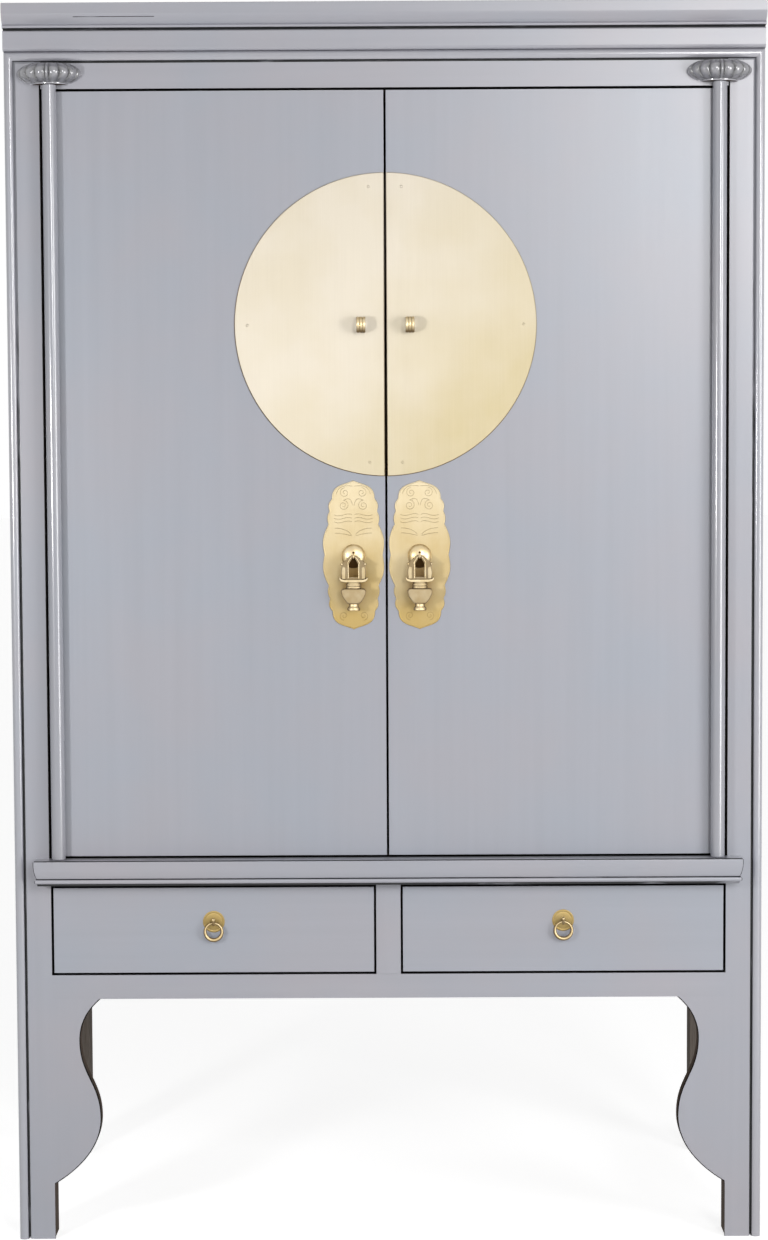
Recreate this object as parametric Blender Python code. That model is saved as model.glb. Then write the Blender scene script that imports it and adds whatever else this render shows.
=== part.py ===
import math

import bmesh
import bpy
from mathutils import Matrix, Vector

for old in list(bpy.data.objects):
    bpy.data.objects.remove(old, do_unlink=True)

# Driving sizes in metres. +Z is up, the doors face -Y, X runs left to right.
WIDTH = 1.064
HEIGHT = 1.752
CARCASS_DEPTH = 0.525
FIT_GAP = 0.0003
EASED_EDGE = 0.001
CUT_OVERRUN = 0.002
SAME_PLACE = 0.00001

POST_WIDTH = 0.0515
POST_DEPTH = 0.045
POST_BEAD_WIDTH = 0.0135
POST_BEAD_PROUD = 0.0025
QUIRK_WIDTH = 0.002
QUIRK_DEPTH = 0.003

TENON_LENGTH = 0.014
TENON_SHOULDER = 0.007
MORTISE_END_GAP = 0.0005

TOP_BOARD_HEIGHT = 0.0345
TOP_OVERHANG = 0.020
TOP_FASCIA_HEIGHT = 0.0135
TOP_FASCIA_STEP = 0.0012
TOP_OGEE_DEPTH = 0.0096
TOP_OGEE_EASE = 0.55
TOP_BEAD_HEIGHT = 0.0052
FRIEZE_HEIGHT = 0.030
FRIEZE_PROUD = 0.006
FRIEZE_ROUND = 0.005
BEAD_STRIP_HEIGHT = 0.0148
BEAD_STRIP_LIP = 0.0006
TOP_RAIL_HEIGHT = 0.0522
TOP_RAIL_DEPTH = 0.030

LEG_OPENING = 0.3487
APRON_HEIGHT = 0.0345
APRON_DEPTH = 0.022
DRAWER_FRONT_HEIGHT = 0.1235
DRAWER_GAP = 0.0025
DIVIDER_WIDTH = 0.035
DIVIDER_DEPTH = 0.0215
MIDDLE_RAIL_HEIGHT = 0.0396
MIDDLE_RAIL_DEPTH = 0.021
SIDE_RAIL_THICKNESS = 0.028
SIDE_RAIL_SETBACK = 0.004
SIDE_TOP_RAIL_DROP = 0.0475
PANEL_THICKNESS = 0.012
PANEL_SETBACK = 0.012
BACK_RAIL_THICKNESS = 0.026
BACK_RAIL_SETBACK = 0.004
BACK_PANEL_SETBACK = 0.010
BACK_PANEL_THICKNESS = 0.010
FLOOR_THICKNESS = 0.018
FLOOR_ABOVE_DOOR_EDGE = 0.006
FLOOR_FRONT_INSET = 0.0255
SHELF_THICKNESS = 0.018
SHELF_SETBACK = 0.075
SHELF_SHARE = 0.5
CLEAT_HEIGHT = 0.026
CLEAT_WIDTH = 0.020
STOP_HEIGHT = 0.017
STOP_DEPTH = 0.008
STOP_HALF_WIDTH_INSET = 0.080

LEDGE_HEIGHT = 0.035
LEDGE_PROJECTION = 0.034
LEDGE_SIDE_LAP = 0.0215
LEDGE_FASCIA_HEIGHT = 0.005
LEDGE_COVE_DEPTH = 0.0085
LEDGE_COVE_EASE = 0.4
LEDGE_BEAD_HEIGHT = 0.0082
CAPITAL_RADIUS = 0.0445
CAPITAL_PROJECTION = 0.040
CAPITAL_HEIGHT = 0.031
CAPITAL_ABOVE_DOOR = 0.0057
CAPITAL_FOOT_RADIUS = 0.0252
CAPITAL_FOOT_HEIGHT = 0.0034
CAPITAL_MELON_SWELL = 0.0187
CAPITAL_LOBE_DEPTH = 0.065
CAPITAL_LOBES_EACH_SIDE = 4
CAPITAL_RIB_SHARE = 0.04

POLE_RADIUS = 0.010
POLE_GAP = 0.003
POLE_CLEARANCE = 0.0005
PIN_RADIUS = 0.005
PIN_LENGTH = 0.013
SOCKET_CLEARANCE = 0.0003
WEB_WIDTH = 0.015
DOOR_GAP = 0.003
DOOR_RECESS = 0.001
DOOR_THICKNESS = 0.020
BATTEN_WIDTH = 0.070
BATTEN_THICKNESS = 0.014
BATTEN_INSET = 0.040
BATTEN_FROM_END = 0.150

BRASS_THICKNESS = 0.0012
MOON_RADIUS = 0.2125
MOON_BELOW_DOOR_TOP = 0.3268
STAPLE_WIDTH = 0.0125
STAPLE_HEIGHT = 0.022
STAPLE_PROJECTION = 0.023
STAPLE_WALL = 0.0025
STAPLE_X = 0.0344

PULL_X = 0.0467
PULL_PLATE_BELOW_MOON = 0.0056
BOSS_RADIUS = 0.017
BOSS_HEIGHT = 0.0095
BOSS_RIM = 0.0008
PULL_AXIS_FORWARD = 0.018
PULL_AXIS_BELOW_MIDDLE = 0.0015
PULL_BAR_RADIUS = 0.0015
PULL_BAR_HALF_LENGTH = 0.0045
PULL_FRAME_DEPTH = 0.007
PULL_BODY_FLATTEN = 0.48
LOOP_WIRE_RADIUS = 0.0012
LOOP_CLEARANCE = 0.0004
SHANK_RADIUS = 0.0015
SHANK_DEPTH = 0.012

RING_PLATE_RADIUS = 0.0155
RING_PLATE_BEVEL = 0.0006
RING_ABOVE_DRAWER_MIDDLE = 0.01205
RING_AXIS_FORWARD = 0.0085
RING_RADIUS = 0.0130
RING_WIRE_RADIUS = 0.0020
EYE_WIRE_RADIUS = 0.0013
EYE_CLEARANCE = 0.0006

DRAWER_FRONT_THICKNESS = 0.018
DRAWER_SIDE_THICKNESS = 0.012
DRAWER_SIDE_INSET = 0.006
DRAWER_SIDE_HEIGHT = 0.100
DRAWER_BACK_ROOM = 0.040
DRAWER_BOTTOM_THICKNESS = 0.006
DRAWER_BOTTOM_RAISE = 0.006
DRAWER_SIDE_RAISE = 0.006
RUNNER_CLEARANCE = 0.0005
RUNNER_HEIGHT = 0.020
RUNNER_WIDTH = 0.028
CENTRE_RUNNER_WIDTH = 0.090

SPANDREL_THICKNESS = 0.020
SPANDREL_TOP_REACH = 0.069
SPANDREL_WAIST_REACH = 0.039
SPANDREL_BULGE_REACH = 0.068
SPANDREL_WAIST_DROP = 0.060
SPANDREL_BULGE_DROP = 0.1727
SPANDREL_FOOT_DROP = 0.2687
SPANDREL_TOE = 0.0005
SPANDREL_SCOOP = (0.019, 0.016)
SPANDREL_WAIST_EASE = 0.025
SPANDREL_SWING_SHARE = 0.45
SPANDREL_BELLY_EASE = 0.044
SPANDREL_TOE_SWEEP = (0.032, 0.019)

# The scalloped pull plate, as (half width, height above the middle): the top is a
# pointed ogee, and each notch ends a round lobe that stands out by its bulge.
PULL_PLATE_OGEE = [(0.0000, 0.1054), (0.0130, 0.0990), (0.0305, 0.1000), (0.0300, 0.0797)]
PULL_PLATE_NOTCHES = [(0.0336, 0.0619, 0.0030), (0.0352, 0.0434, 0.0022), (0.0410, 0.0000, 0.0048)]
# The vase-shaped part of the drop pull, as (radius, drop below its bar).
PULL_BODY_SECTION = [
    (0.0000, 0.0290), (0.0150, 0.0290), (0.0195, 0.0298), (0.0203, 0.0312), (0.0170, 0.0340),
    (0.0120, 0.0362), (0.0108, 0.0385), (0.0118, 0.0400), (0.0110, 0.0420), (0.0125, 0.0435),
    (0.0165, 0.0465), (0.0160, 0.0515), (0.0130, 0.0585), (0.0085, 0.0650), (0.0072, 0.0668),
    (0.0078, 0.0700), (0.0088, 0.0752), (0.0080, 0.0760), (0.0000, 0.0760),
]
PULL_FRAME_OUTER = [
    (0.0026, -0.0020), (0.0050, -0.0010), (0.0100, 0.0045), (0.0160, 0.0090), (0.0170, 0.0112),
    (0.0140, 0.0135), (0.0132, 0.0200), (0.0148, 0.0270), (0.0135, 0.0310),
]
PULL_FRAME_INNER = [(0.0062, 0.0278), (0.0062, 0.0105), (0.0040, 0.0060), (0.0026, 0.0040)]

# Derived positions.
HALF = WIDTH / 2
FRONT = -(CARCASS_DEPTH - CAPITAL_PROJECTION) / 2
BACK = FRONT + CARCASS_DEPTH
POST_INNER = HALF - POST_WIDTH
TOP_BOARD_BOTTOM = HEIGHT - TOP_BOARD_HEIGHT
FRIEZE_BOTTOM = TOP_BOARD_BOTTOM - FRIEZE_HEIGHT
TOP_RAIL_BOTTOM = FRIEZE_BOTTOM - TOP_RAIL_HEIGHT
DOOR_TOP = TOP_RAIL_BOTTOM - DOOR_GAP
APRON_TOP = LEG_OPENING + APRON_HEIGHT
DRAWER_BOTTOM_Z = APRON_TOP + DRAWER_GAP
DRAWER_TOP_Z = DRAWER_BOTTOM_Z + DRAWER_FRONT_HEIGHT
MIDDLE_RAIL_BOTTOM = DRAWER_TOP_Z + DRAWER_GAP
LEDGE_TOP = MIDDLE_RAIL_BOTTOM + MIDDLE_RAIL_HEIGHT
DOOR_BOTTOM = LEDGE_TOP + DOOR_GAP
DOOR_FACE = FRONT + DOOR_RECESS
DOOR_REAR = DOOR_FACE + DOOR_THICKNESS
DRAWER_FACE = FRONT + DOOR_RECESS
PIVOT_X = POST_INNER - POLE_GAP - POLE_RADIUS
PIVOT_Y = FRONT - POLE_RADIUS - POLE_CLEARANCE
CAPITAL_BOTTOM = DOOR_TOP + CAPITAL_ABOVE_DOOR
MOON_Z = DOOR_TOP - MOON_BELOW_DOOR_TOP
PULL_PLATE_TOP = MOON_Z - MOON_RADIUS - PULL_PLATE_BELOW_MOON
PULL_PLATE_Z = PULL_PLATE_TOP - PULL_PLATE_OGEE[0][1]
PULL_AXIS_Z = PULL_PLATE_Z - PULL_AXIS_BELOW_MIDDLE
SIDE_TOP_RAIL_BOTTOM = FRIEZE_BOTTOM - SIDE_TOP_RAIL_DROP
PANEL_INNER = HALF - PANEL_SETBACK - PANEL_THICKNESS
FLOOR_TOP = DOOR_BOTTOM + FLOOR_ABOVE_DOOR_EDGE
BACK_PANEL_FRONT = BACK - BACK_PANEL_SETBACK - BACK_PANEL_THICKNESS
SHELF_TOP = FLOOR_TOP + SHELF_SHARE * (SIDE_TOP_RAIL_BOTTOM - FLOOR_TOP)
SHELF_BOTTOM = SHELF_TOP - SHELF_THICKNESS
RUNNER_TOP = DRAWER_BOTTOM_Z + DRAWER_SIDE_RAISE - RUNNER_CLEARANCE
PLATE_BACK = DOOR_FACE - FIT_GAP
PLATE_FRONT = PLATE_BACK - BRASS_THICKNESS
PULL_AXIS_Y = DOOR_FACE - PULL_AXIS_FORWARD
RING_AXIS_Y = DRAWER_FACE - RING_AXIS_FORWARD
RING_AXIS_Z = (DRAWER_BOTTOM_Z + DRAWER_TOP_Z) / 2 + RING_ABOVE_DRAWER_MIDDLE
RING_X = (POST_INNER - DRAWER_GAP + DIVIDER_WIDTH / 2 + DRAWER_GAP) / 2


def principled(name, colour, metallic, roughness):
    material = bpy.data.materials.new(name)
    material.use_nodes = True
    shader = material.node_tree.nodes["Principled BSDF"]
    shader.inputs["Base Color"].default_value = (*colour, 1.0)
    shader.inputs["Metallic"].default_value = metallic
    shader.inputs["Roughness"].default_value = roughness
    material.diffuse_color = (*colour, 1.0)
    return material


LACQUER = ("grey_lacquer", (0.40, 0.42, 0.46), 0.0, 0.35)
BARE_WOOD = ("stained_wood", (0.12, 0.085, 0.06), 0.0, 0.6)
BRASS = ("brass", (0.80, 0.62, 0.30), 1.0, 0.28)


def finish(name, bm, look, parent=None, smooth=False):
    bmesh.ops.remove_doubles(bm, verts=bm.verts, dist=SAME_PLACE)
    bmesh.ops.recalc_face_normals(bm, faces=bm.faces)
    mesh = bpy.data.meshes.new(name)
    bm.to_mesh(mesh)
    bm.free()
    mesh.materials.append(principled(name + "_" + look[0], *look[1:]))
    if smooth:
        for face in mesh.polygons:
            face.use_smooth = True
        mesh.set_sharp_from_angle(angle=math.radians(38))
    obj = bpy.data.objects.new(name, mesh)
    bpy.context.scene.collection.objects.link(obj)
    if parent:
        obj.parent = parent
        obj.matrix_parent_inverse = parent.matrix_world.inverted()
    return obj


def joint_empty(name, place):
    empty = bpy.data.objects.new(name, None)
    empty.location = place
    empty.empty_display_size = 0.05
    bpy.context.scene.collection.objects.link(empty)
    bpy.context.view_layer.update()
    return empty


def combine(obj, other, operation):
    # The second solid stays in the file as a hidden tool of the first.
    other.hide_render = True
    other.display_type = "WIRE"
    modifier = obj.modifiers.new(operation.lower() + "_" + other.name, "BOOLEAN")
    modifier.operation = operation
    modifier.solver = "EXACT"
    modifier.object = other
    return obj


def add_box(bm, low, high):
    middle = (Vector(low) + Vector(high)) / 2
    size = Vector(high) - Vector(low)
    place = Matrix.Translation(middle) @ Matrix.Diagonal((*size, 1.0))
    return bmesh.ops.create_cube(bm, size=1.0, matrix=place)["verts"]


def ordered(low, high):
    small = [min(a, b) for a, b in zip(low, high)]
    large = [max(a, b) for a, b in zip(low, high)]
    return small, large


def board(name, low, high, axis, look, tenons=(False, False), parent=None, ease=EASED_EDGE):
    # A straight board with eased long edges and a stub tenon on the asked ends.
    low, high = ordered(low, high)
    bm = bmesh.new()
    add_box(bm, low, high)
    for end, wanted in zip((-1, 1), tenons):
        if not wanted:
            continue
        bm.normal_update()
        face = next(f for f in bm.faces if f.normal[axis] * end > 0.9)
        bmesh.ops.inset_individual(bm, faces=[face], thickness=TENON_SHOULDER, use_even_offset=True)
        tip = bmesh.ops.extrude_discrete_faces(bm, faces=[face])["faces"][0]
        shift = Vector((0, 0, 0))
        shift[axis] = end * TENON_LENGTH
        bmesh.ops.translate(bm, vec=shift, verts=tip.verts)
    across = [i for i in range(3) if i != axis]

    def at_corner(vert):
        return all(min(abs(vert.co[i] - low[i]), abs(vert.co[i] - high[i])) < SAME_PLACE for i in across)

    long_edges = [
        e for e in bm.edges
        if all(at_corner(v) for v in e.verts) and abs(e.verts[0].co[axis] - e.verts[1].co[axis]) > SAME_PLACE
    ]
    if ease:
        bmesh.ops.bevel(bm, geom=long_edges, offset=ease, segments=1, affect="EDGES", profile=0.5)
    return finish(name, bm, look, parent)


def mortise_box(low, high, axis, end):
    # The pocket that takes one end tenon of a board with these corners.
    low, high = ordered(low, high)
    small = [v + TENON_SHOULDER - FIT_GAP for v in low]
    large = [v - TENON_SHOULDER + FIT_GAP for v in high]
    if end > 0:
        small[axis] = high[axis] - CUT_OVERRUN
        large[axis] = high[axis] + TENON_LENGTH + MORTISE_END_GAP
    else:
        small[axis] = low[axis] - TENON_LENGTH - MORTISE_END_GAP
        large[axis] = low[axis] + CUT_OVERRUN
    return small, large


def cut_boxes(obj, boxes):
    bm = bmesh.new()
    for small, large in boxes:
        add_box(bm, small, large)
    cutter = finish(obj.name + "_mortises", bm, BARE_WOOD, obj.parent)
    return combine(obj, cutter, "DIFFERENCE")


def prism(bm, outline, place, start, end):
    # A closed outline of (u, v) pairs pulled from start to end along w.
    near = [bm.verts.new(place(u, v, start)) for u, v in outline]
    far = [bm.verts.new(place(u, v, end)) for u, v in outline]
    bm.faces.new(near)
    bm.faces.new(far)
    count = len(outline)
    for i in range(count):
        j = (i + 1) % count
        bm.faces.new((near[i], near[j], far[j], far[i]))


def turn(bm, section, place, steps):
    # A section of (radius, height) pairs spun about the height axis of place.
    verts = [bm.verts.new((radius, 0, height)) for radius, height in section]
    edges = [bm.edges.new(pair) for pair in zip(verts, verts[1:])]
    bmesh.ops.spin(
        bm, geom=verts + edges, cent=(0, 0, 0), axis=(0, 0, 1), dvec=(0, 0, 0),
        angle=math.tau, steps=steps, use_merge=True, use_duplicate=False,
    )
    bmesh.ops.remove_doubles(bm, verts=bm.verts, dist=SAME_PLACE)
    bmesh.ops.transform(bm, matrix=place, verts=bm.verts)


def turned(name, section, place, look, steps=24, parent=None):
    bm = bmesh.new()
    turn(bm, section, place, steps)
    return finish(name, bm, look, parent, smooth=True)


def loop(name, radius, wire, place, look, around=16, section=8, parent=None):
    # A closed wire ring lying flat about the height axis of place.
    bm = bmesh.new()
    place_circle = Matrix.Translation((radius, 0, 0)) @ Matrix.Rotation(math.pi / 2, 4, "X")
    made = bmesh.ops.create_circle(bm, segments=section, radius=wire, cap_ends=False, matrix=place_circle)
    edges = list({e for v in made["verts"] for e in v.link_edges})
    bmesh.ops.spin(
        bm, geom=made["verts"] + edges, cent=(0, 0, 0), axis=(0, 0, 1), dvec=(0, 0, 0),
        angle=math.tau, steps=around, use_merge=True, use_duplicate=False,
    )
    bmesh.ops.transform(bm, matrix=place, verts=bm.verts)
    return finish(name, bm, look, parent, smooth=True)


def towards_front(x, y, z):
    # The turning axis points out of the cabinet front.
    return Matrix.Translation((x, y, z)) @ Matrix.Rotation(math.pi / 2, 4, "X")


def rod(name, radius, start, end, look, steps=12, parent=None):
    start = Vector(start)
    way = Vector(end) - start
    length = way.length
    turned_to = way.to_track_quat("Z", "Y").to_matrix().to_4x4()
    section = [(0, 0), (radius, 0), (radius, length), (0, length)]
    return turned(name, section, Matrix.Translation(start) @ turned_to, look, steps, parent)


def bezier(points, count):
    a, b, c, d = (Vector((*p, 0)) for p in points)
    made = []
    for i in range(count + 1):
        t = i / count
        p = a * (1 - t) ** 3 + b * 3 * t * (1 - t) ** 2 + c * 3 * t * t * (1 - t) + d * t ** 3
        made.append((p.x, p.y))
    return made


def bulged(start, end, bulge, count):
    # An arc from start to end that stands out by bulge on the +u side, without its first point.
    start = Vector(start)
    end = Vector(end)
    chord = (end - start).length
    outward = Vector((start.y - end.y, end.x - start.x)) / chord
    radius = (chord * chord / 4 + bulge * bulge) / (2 * bulge)
    centre = (start + end) / 2 + outward * (bulge - radius)
    half = math.asin(chord / 2 / radius)
    along = (end - start) / chord
    angles = [half * (2 * i / count - 1) for i in range(1, count + 1)]
    return [tuple(centre + radius * (outward * math.cos(a) + along * math.sin(a))) for a in angles]


def half_round(drop, back, height, count):
    # A bead of this height standing forward of the set-back line, from its top to its foot.
    radius = height / 2
    angles = [math.pi * i / count for i in range(count + 1)]
    return [(drop + radius - radius * math.cos(a), back - radius * math.sin(a)) for a in angles]


def front_post(side, name, boxes):
    middle = POST_BEAD_WIDTH / 2
    outline = [(0, POST_DEPTH)]
    for i in range(9):
        angle = math.pi * i / 8
        u = middle - middle * math.cos(angle)
        v = QUIRK_DEPTH - (QUIRK_DEPTH + POST_BEAD_PROUD) * math.sin(angle)
        outline.append((u, v))
    outline += [
        (POST_BEAD_WIDTH + QUIRK_WIDTH, QUIRK_DEPTH), (POST_BEAD_WIDTH + QUIRK_WIDTH, 0),
        (POST_WIDTH - EASED_EDGE, 0), (POST_WIDTH, EASED_EDGE), (POST_WIDTH, POST_DEPTH),
    ]
    bm = bmesh.new()
    prism(bm, outline, lambda u, v, w: (side * (HALF - u), FRONT + v, w), 0, FRIEZE_BOTTOM - FIT_GAP)
    return cut_boxes(finish(name, bm, LACQUER), boxes)


def rear_post(side, name, boxes):
    outline = [
        (0, EASED_EDGE), (EASED_EDGE, 0), (POST_WIDTH - EASED_EDGE, 0), (POST_WIDTH, EASED_EDGE),
        (POST_WIDTH, POST_DEPTH), (0, POST_DEPTH),
    ]
    bm = bmesh.new()
    prism(bm, outline, lambda u, v, w: (side * (HALF - u), BACK - v, w), 0, TOP_BOARD_BOTTOM - FIT_GAP)
    return cut_boxes(finish(name, bm, LACQUER), boxes)


def frame():
    span = POST_INNER - FIT_GAP
    rails = {
        "top_rail": (
            (-span, FRONT, TOP_RAIL_BOTTOM), (span, FRONT + TOP_RAIL_DEPTH, FRIEZE_BOTTOM - FIT_GAP),
        ),
        "middle_rail": ((-span, FRONT, MIDDLE_RAIL_BOTTOM), (span, FRONT + MIDDLE_RAIL_DEPTH, LEDGE_TOP)),
        "apron_rail": ((-span, FRONT, LEG_OPENING), (span, FRONT + APRON_DEPTH, APRON_TOP)),
    }
    rear_line = BACK - BACK_RAIL_SETBACK
    back_rails = {
        "back_top_rail": (
            (-span, rear_line - BACK_RAIL_THICKNESS, SIDE_TOP_RAIL_BOTTOM),
            (span, rear_line, TOP_BOARD_BOTTOM - FIT_GAP),
        ),
        "back_lower_rail": (
            (-span, rear_line - BACK_RAIL_THICKNESS, LEG_OPENING),
            (span, rear_line, APRON_TOP),
        ),
    }
    front_end = FRONT + POST_DEPTH + FIT_GAP
    rear_end = BACK - POST_DEPTH - FIT_GAP
    outer = HALF - SIDE_RAIL_SETBACK
    side_rails = {}
    for side, word in ((-1, "left"), (1, "right")):
        side_rails[side] = {
            word + "_side_top_rail": (
                (side * outer, front_end, SIDE_TOP_RAIL_BOTTOM),
                (side * (outer - SIDE_RAIL_THICKNESS), rear_end, TOP_BOARD_BOTTOM - FIT_GAP),
            ),
            word + "_side_lower_rail": (
                (side * outer, front_end, LEG_OPENING),
                (side * (outer - SIDE_RAIL_THICKNESS), rear_end, APRON_TOP),
            ),
        }
    for name, (low, high) in {**rails, **back_rails}.items():
        look = LACQUER if name in rails else BARE_WOOD
        board(name, low, high, 0, look, (True, True))
    for side, word in ((-1, "left"), (1, "right")):
        for name, (low, high) in side_rails[side].items():
            # The upper side rail butts the cornice in front and is tenoned only at the back.
            board(name, low, high, 1, LACQUER, ("lower" in name, True))
        front_pockets = [mortise_box(*rails[n], 0, side) for n in rails]
        front_pockets.append(mortise_box(*side_rails[side][word + "_side_lower_rail"], 1, -1))
        front_post(side, "front_" + word + "_post", front_pockets)
        rear_pockets = [mortise_box(*back_rails[n], 0, side) for n in back_rails]
        rear_pockets += [mortise_box(*side_rails[side][n], 1, 1) for n in side_rails[side]]
        rear_post(side, "rear_" + word + "_post", rear_pockets)
        board(
            word + "_side_panel",
            (side * PANEL_INNER, front_end, APRON_TOP + FIT_GAP),
            (side * (PANEL_INNER + PANEL_THICKNESS), rear_end, SIDE_TOP_RAIL_BOTTOM - FIT_GAP),
            2, LACQUER,
        )
    board(
        "back_panel",
        (-span, BACK_PANEL_FRONT, APRON_TOP + FIT_GAP),
        (span, BACK_PANEL_FRONT + BACK_PANEL_THICKNESS, SIDE_TOP_RAIL_BOTTOM - FIT_GAP),
        2, BARE_WOOD,
    )
    half_divider = DIVIDER_WIDTH / 2
    board(
        "drawer_divider",
        (-half_divider, FRONT, APRON_TOP + FIT_GAP),
        (half_divider, FRONT + DIVIDER_DEPTH, MIDDLE_RAIL_BOTTOM - FIT_GAP),
        2, LACQUER,
    )


def top_board_edge():
    # (drop, set-back) from the top front corner: fascia, ogee and a small bead.
    step = TOP_FASCIA_STEP
    back = step + TOP_OGEE_DEPTH
    start = TOP_FASCIA_HEIGHT + step
    end = TOP_BOARD_HEIGHT - TOP_BEAD_HEIGHT
    ease = (end - start) * TOP_OGEE_EASE
    ogee = bezier([(start, step), (start + ease, step), (end - ease, back), (end, back)], 6)
    edge = [(0, EASED_EDGE), (EASED_EDGE, 0), (TOP_FASCIA_HEIGHT, 0)]
    return edge + ogee + half_round(end, back, TOP_BEAD_HEIGHT, 5)[1:]


def ledge_edge():
    # (drop, set-back) from the ledge's top front edge: fascia, cove and bead.
    back = LEDGE_COVE_DEPTH
    start = LEDGE_FASCIA_HEIGHT
    end = LEDGE_HEIGHT - LEDGE_BEAD_HEIGHT
    ease = (end - start) * LEDGE_COVE_EASE
    cove = bezier([(start, 0), (start + ease, 0), (end - ease, back), (end, back)], 5)
    edge = [(0, EASED_EDGE), (EASED_EDGE, 0)]
    return edge + cove + half_round(end, back, LEDGE_BEAD_HEIGHT, 6)[1:]


def cornice():
    front_line = FRONT - TOP_OVERHANG
    outline = [(front_line + back, HEIGHT - drop) for drop, back in top_board_edge()]
    outline += [(BACK, TOP_BOARD_BOTTOM), (BACK, HEIGHT - EASED_EDGE), (BACK - EASED_EDGE, HEIGHT)]
    bm = bmesh.new()
    prism(bm, outline, lambda u, v, w: (w, u, v), -HALF, HALF)
    finish("top_board", bm, LACQUER)
    front_line = FRONT - FRIEZE_PROUD
    low = FRIEZE_BOTTOM
    high = TOP_BOARD_BOTTOM - FIT_GAP
    outline = [(FRONT + POST_DEPTH, low), (FRONT + POST_DEPTH, high), (front_line, high)]
    for i in range(5):
        angle = math.pi / 2 * i / 4
        inset = FRIEZE_ROUND * (1 - math.cos(angle))
        outline.append((front_line + inset, low + FRIEZE_ROUND * (1 - math.sin(angle))))
    bm = bmesh.new()
    prism(bm, outline, lambda u, v, w: (w, u, v), -HALF, HALF)
    finish("cornice_frieze", bm, LACQUER)
    # The applied strip stops at the quirks of the two front posts.
    reach = HALF - POST_BEAD_WIDTH - QUIRK_WIDTH
    base = FRONT - FIT_GAP
    low = FRIEZE_BOTTOM - BEAD_STRIP_HEIGHT
    high = FRIEZE_BOTTOM - FIT_GAP
    middle = (low + high) / 2
    half = (high - low) / 2
    outline = [(base, low), (base, high)]
    for i in range(1, 8):
        angle = math.pi * i / 8
        proud = BEAD_STRIP_LIP + POST_BEAD_PROUD * math.sin(angle)
        outline.append((base - proud, middle + half * math.cos(angle)))
    bm = bmesh.new()
    prism(bm, outline, lambda u, v, w: (w, u, v), -reach, reach)
    finish("top_bead", bm, LACQUER)


def ledge():
    # Rectangles stacked along the section give the mitred, returned ends.
    half = POST_INNER + LEDGE_SIDE_LAP
    back = FRONT - FIT_GAP
    bm = bmesh.new()
    rows = []
    for drop, inset in ledge_edge():
        x = half - inset
        y = FRONT - LEDGE_PROJECTION + inset
        z = LEDGE_TOP - drop
        rows.append([bm.verts.new(p) for p in ((-x, y, z), (x, y, z), (x, back, z), (-x, back, z))])
    for upper, lower in zip(rows, rows[1:]):
        for i in range(4):
            j = (i + 1) % 4
            bm.faces.new((upper[i], upper[j], lower[j], lower[i]))
    bm.faces.new(rows[0])
    bm.faces.new(rows[-1])
    made = finish("pivot_ledge", bm, LACQUER)
    for side, word in ((-1, "left"), (1, "right")):
        floor = LEDGE_TOP - PIN_LENGTH - SOCKET_CLEARANCE
        hole = socket(word + "_ledge_socket", side, floor, LEDGE_TOP + CUT_OVERRUN)
        combine(made, hole, "DIFFERENCE")


def socket(name, side, low, high):
    x = side * PIVOT_X
    return rod(
        name, PIN_RADIUS + SOCKET_CLEARANCE, (x, PIVOT_Y, low), (x, PIVOT_Y, high), BARE_WOOD, 24
    )


def capital_section():
    # (height, radius, lobe share): a plain round foot, then a flattened melon.
    section = [(0.0, CAPITAL_FOOT_RADIUS, 0.0), (CAPITAL_FOOT_HEIGHT, CAPITAL_FOOT_RADIUS, 0.0)]
    low = CAPITAL_FOOT_HEIGHT + FIT_GAP
    widest = (CAPITAL_FOOT_HEIGHT + CAPITAL_HEIGHT) / 2
    heights = [low + (widest - low) * i / 4 for i in range(4)]
    heights += [widest + (CAPITAL_HEIGHT - widest) * i / 4 for i in range(5)]
    for height in heights:
        share = math.sqrt(1 - ((height - widest) / CAPITAL_MELON_SWELL) ** 2)
        lobed = 0.5 if height in (heights[0], heights[-1]) else 1.0
        section.append((height, CAPITAL_RADIUS * share, lobed))
    return section


def capital_stations():
    # (turn, fullness) round the front: equal lobes each side of a narrow middle rib.
    lobe = (1 - CAPITAL_RIB_SHARE) / CAPITAL_LOBES_EACH_SIDE
    right = [CAPITAL_RIB_SHARE + lobe * i for i in range(CAPITAL_LOBES_EACH_SIDE + 1)]
    edges = [-e for e in reversed(right)] + right
    stations = []
    for a, b in zip(edges, edges[1:]):
        shares = (0.0, 0.5) if a == -b else (0.0, 0.18, 0.5, 0.82)
        stations += [(a + (b - a) * s, math.sqrt(1 - (2 * s - 1) ** 2)) for s in shares]
    return stations + [(1.0, 0.0)]


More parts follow.
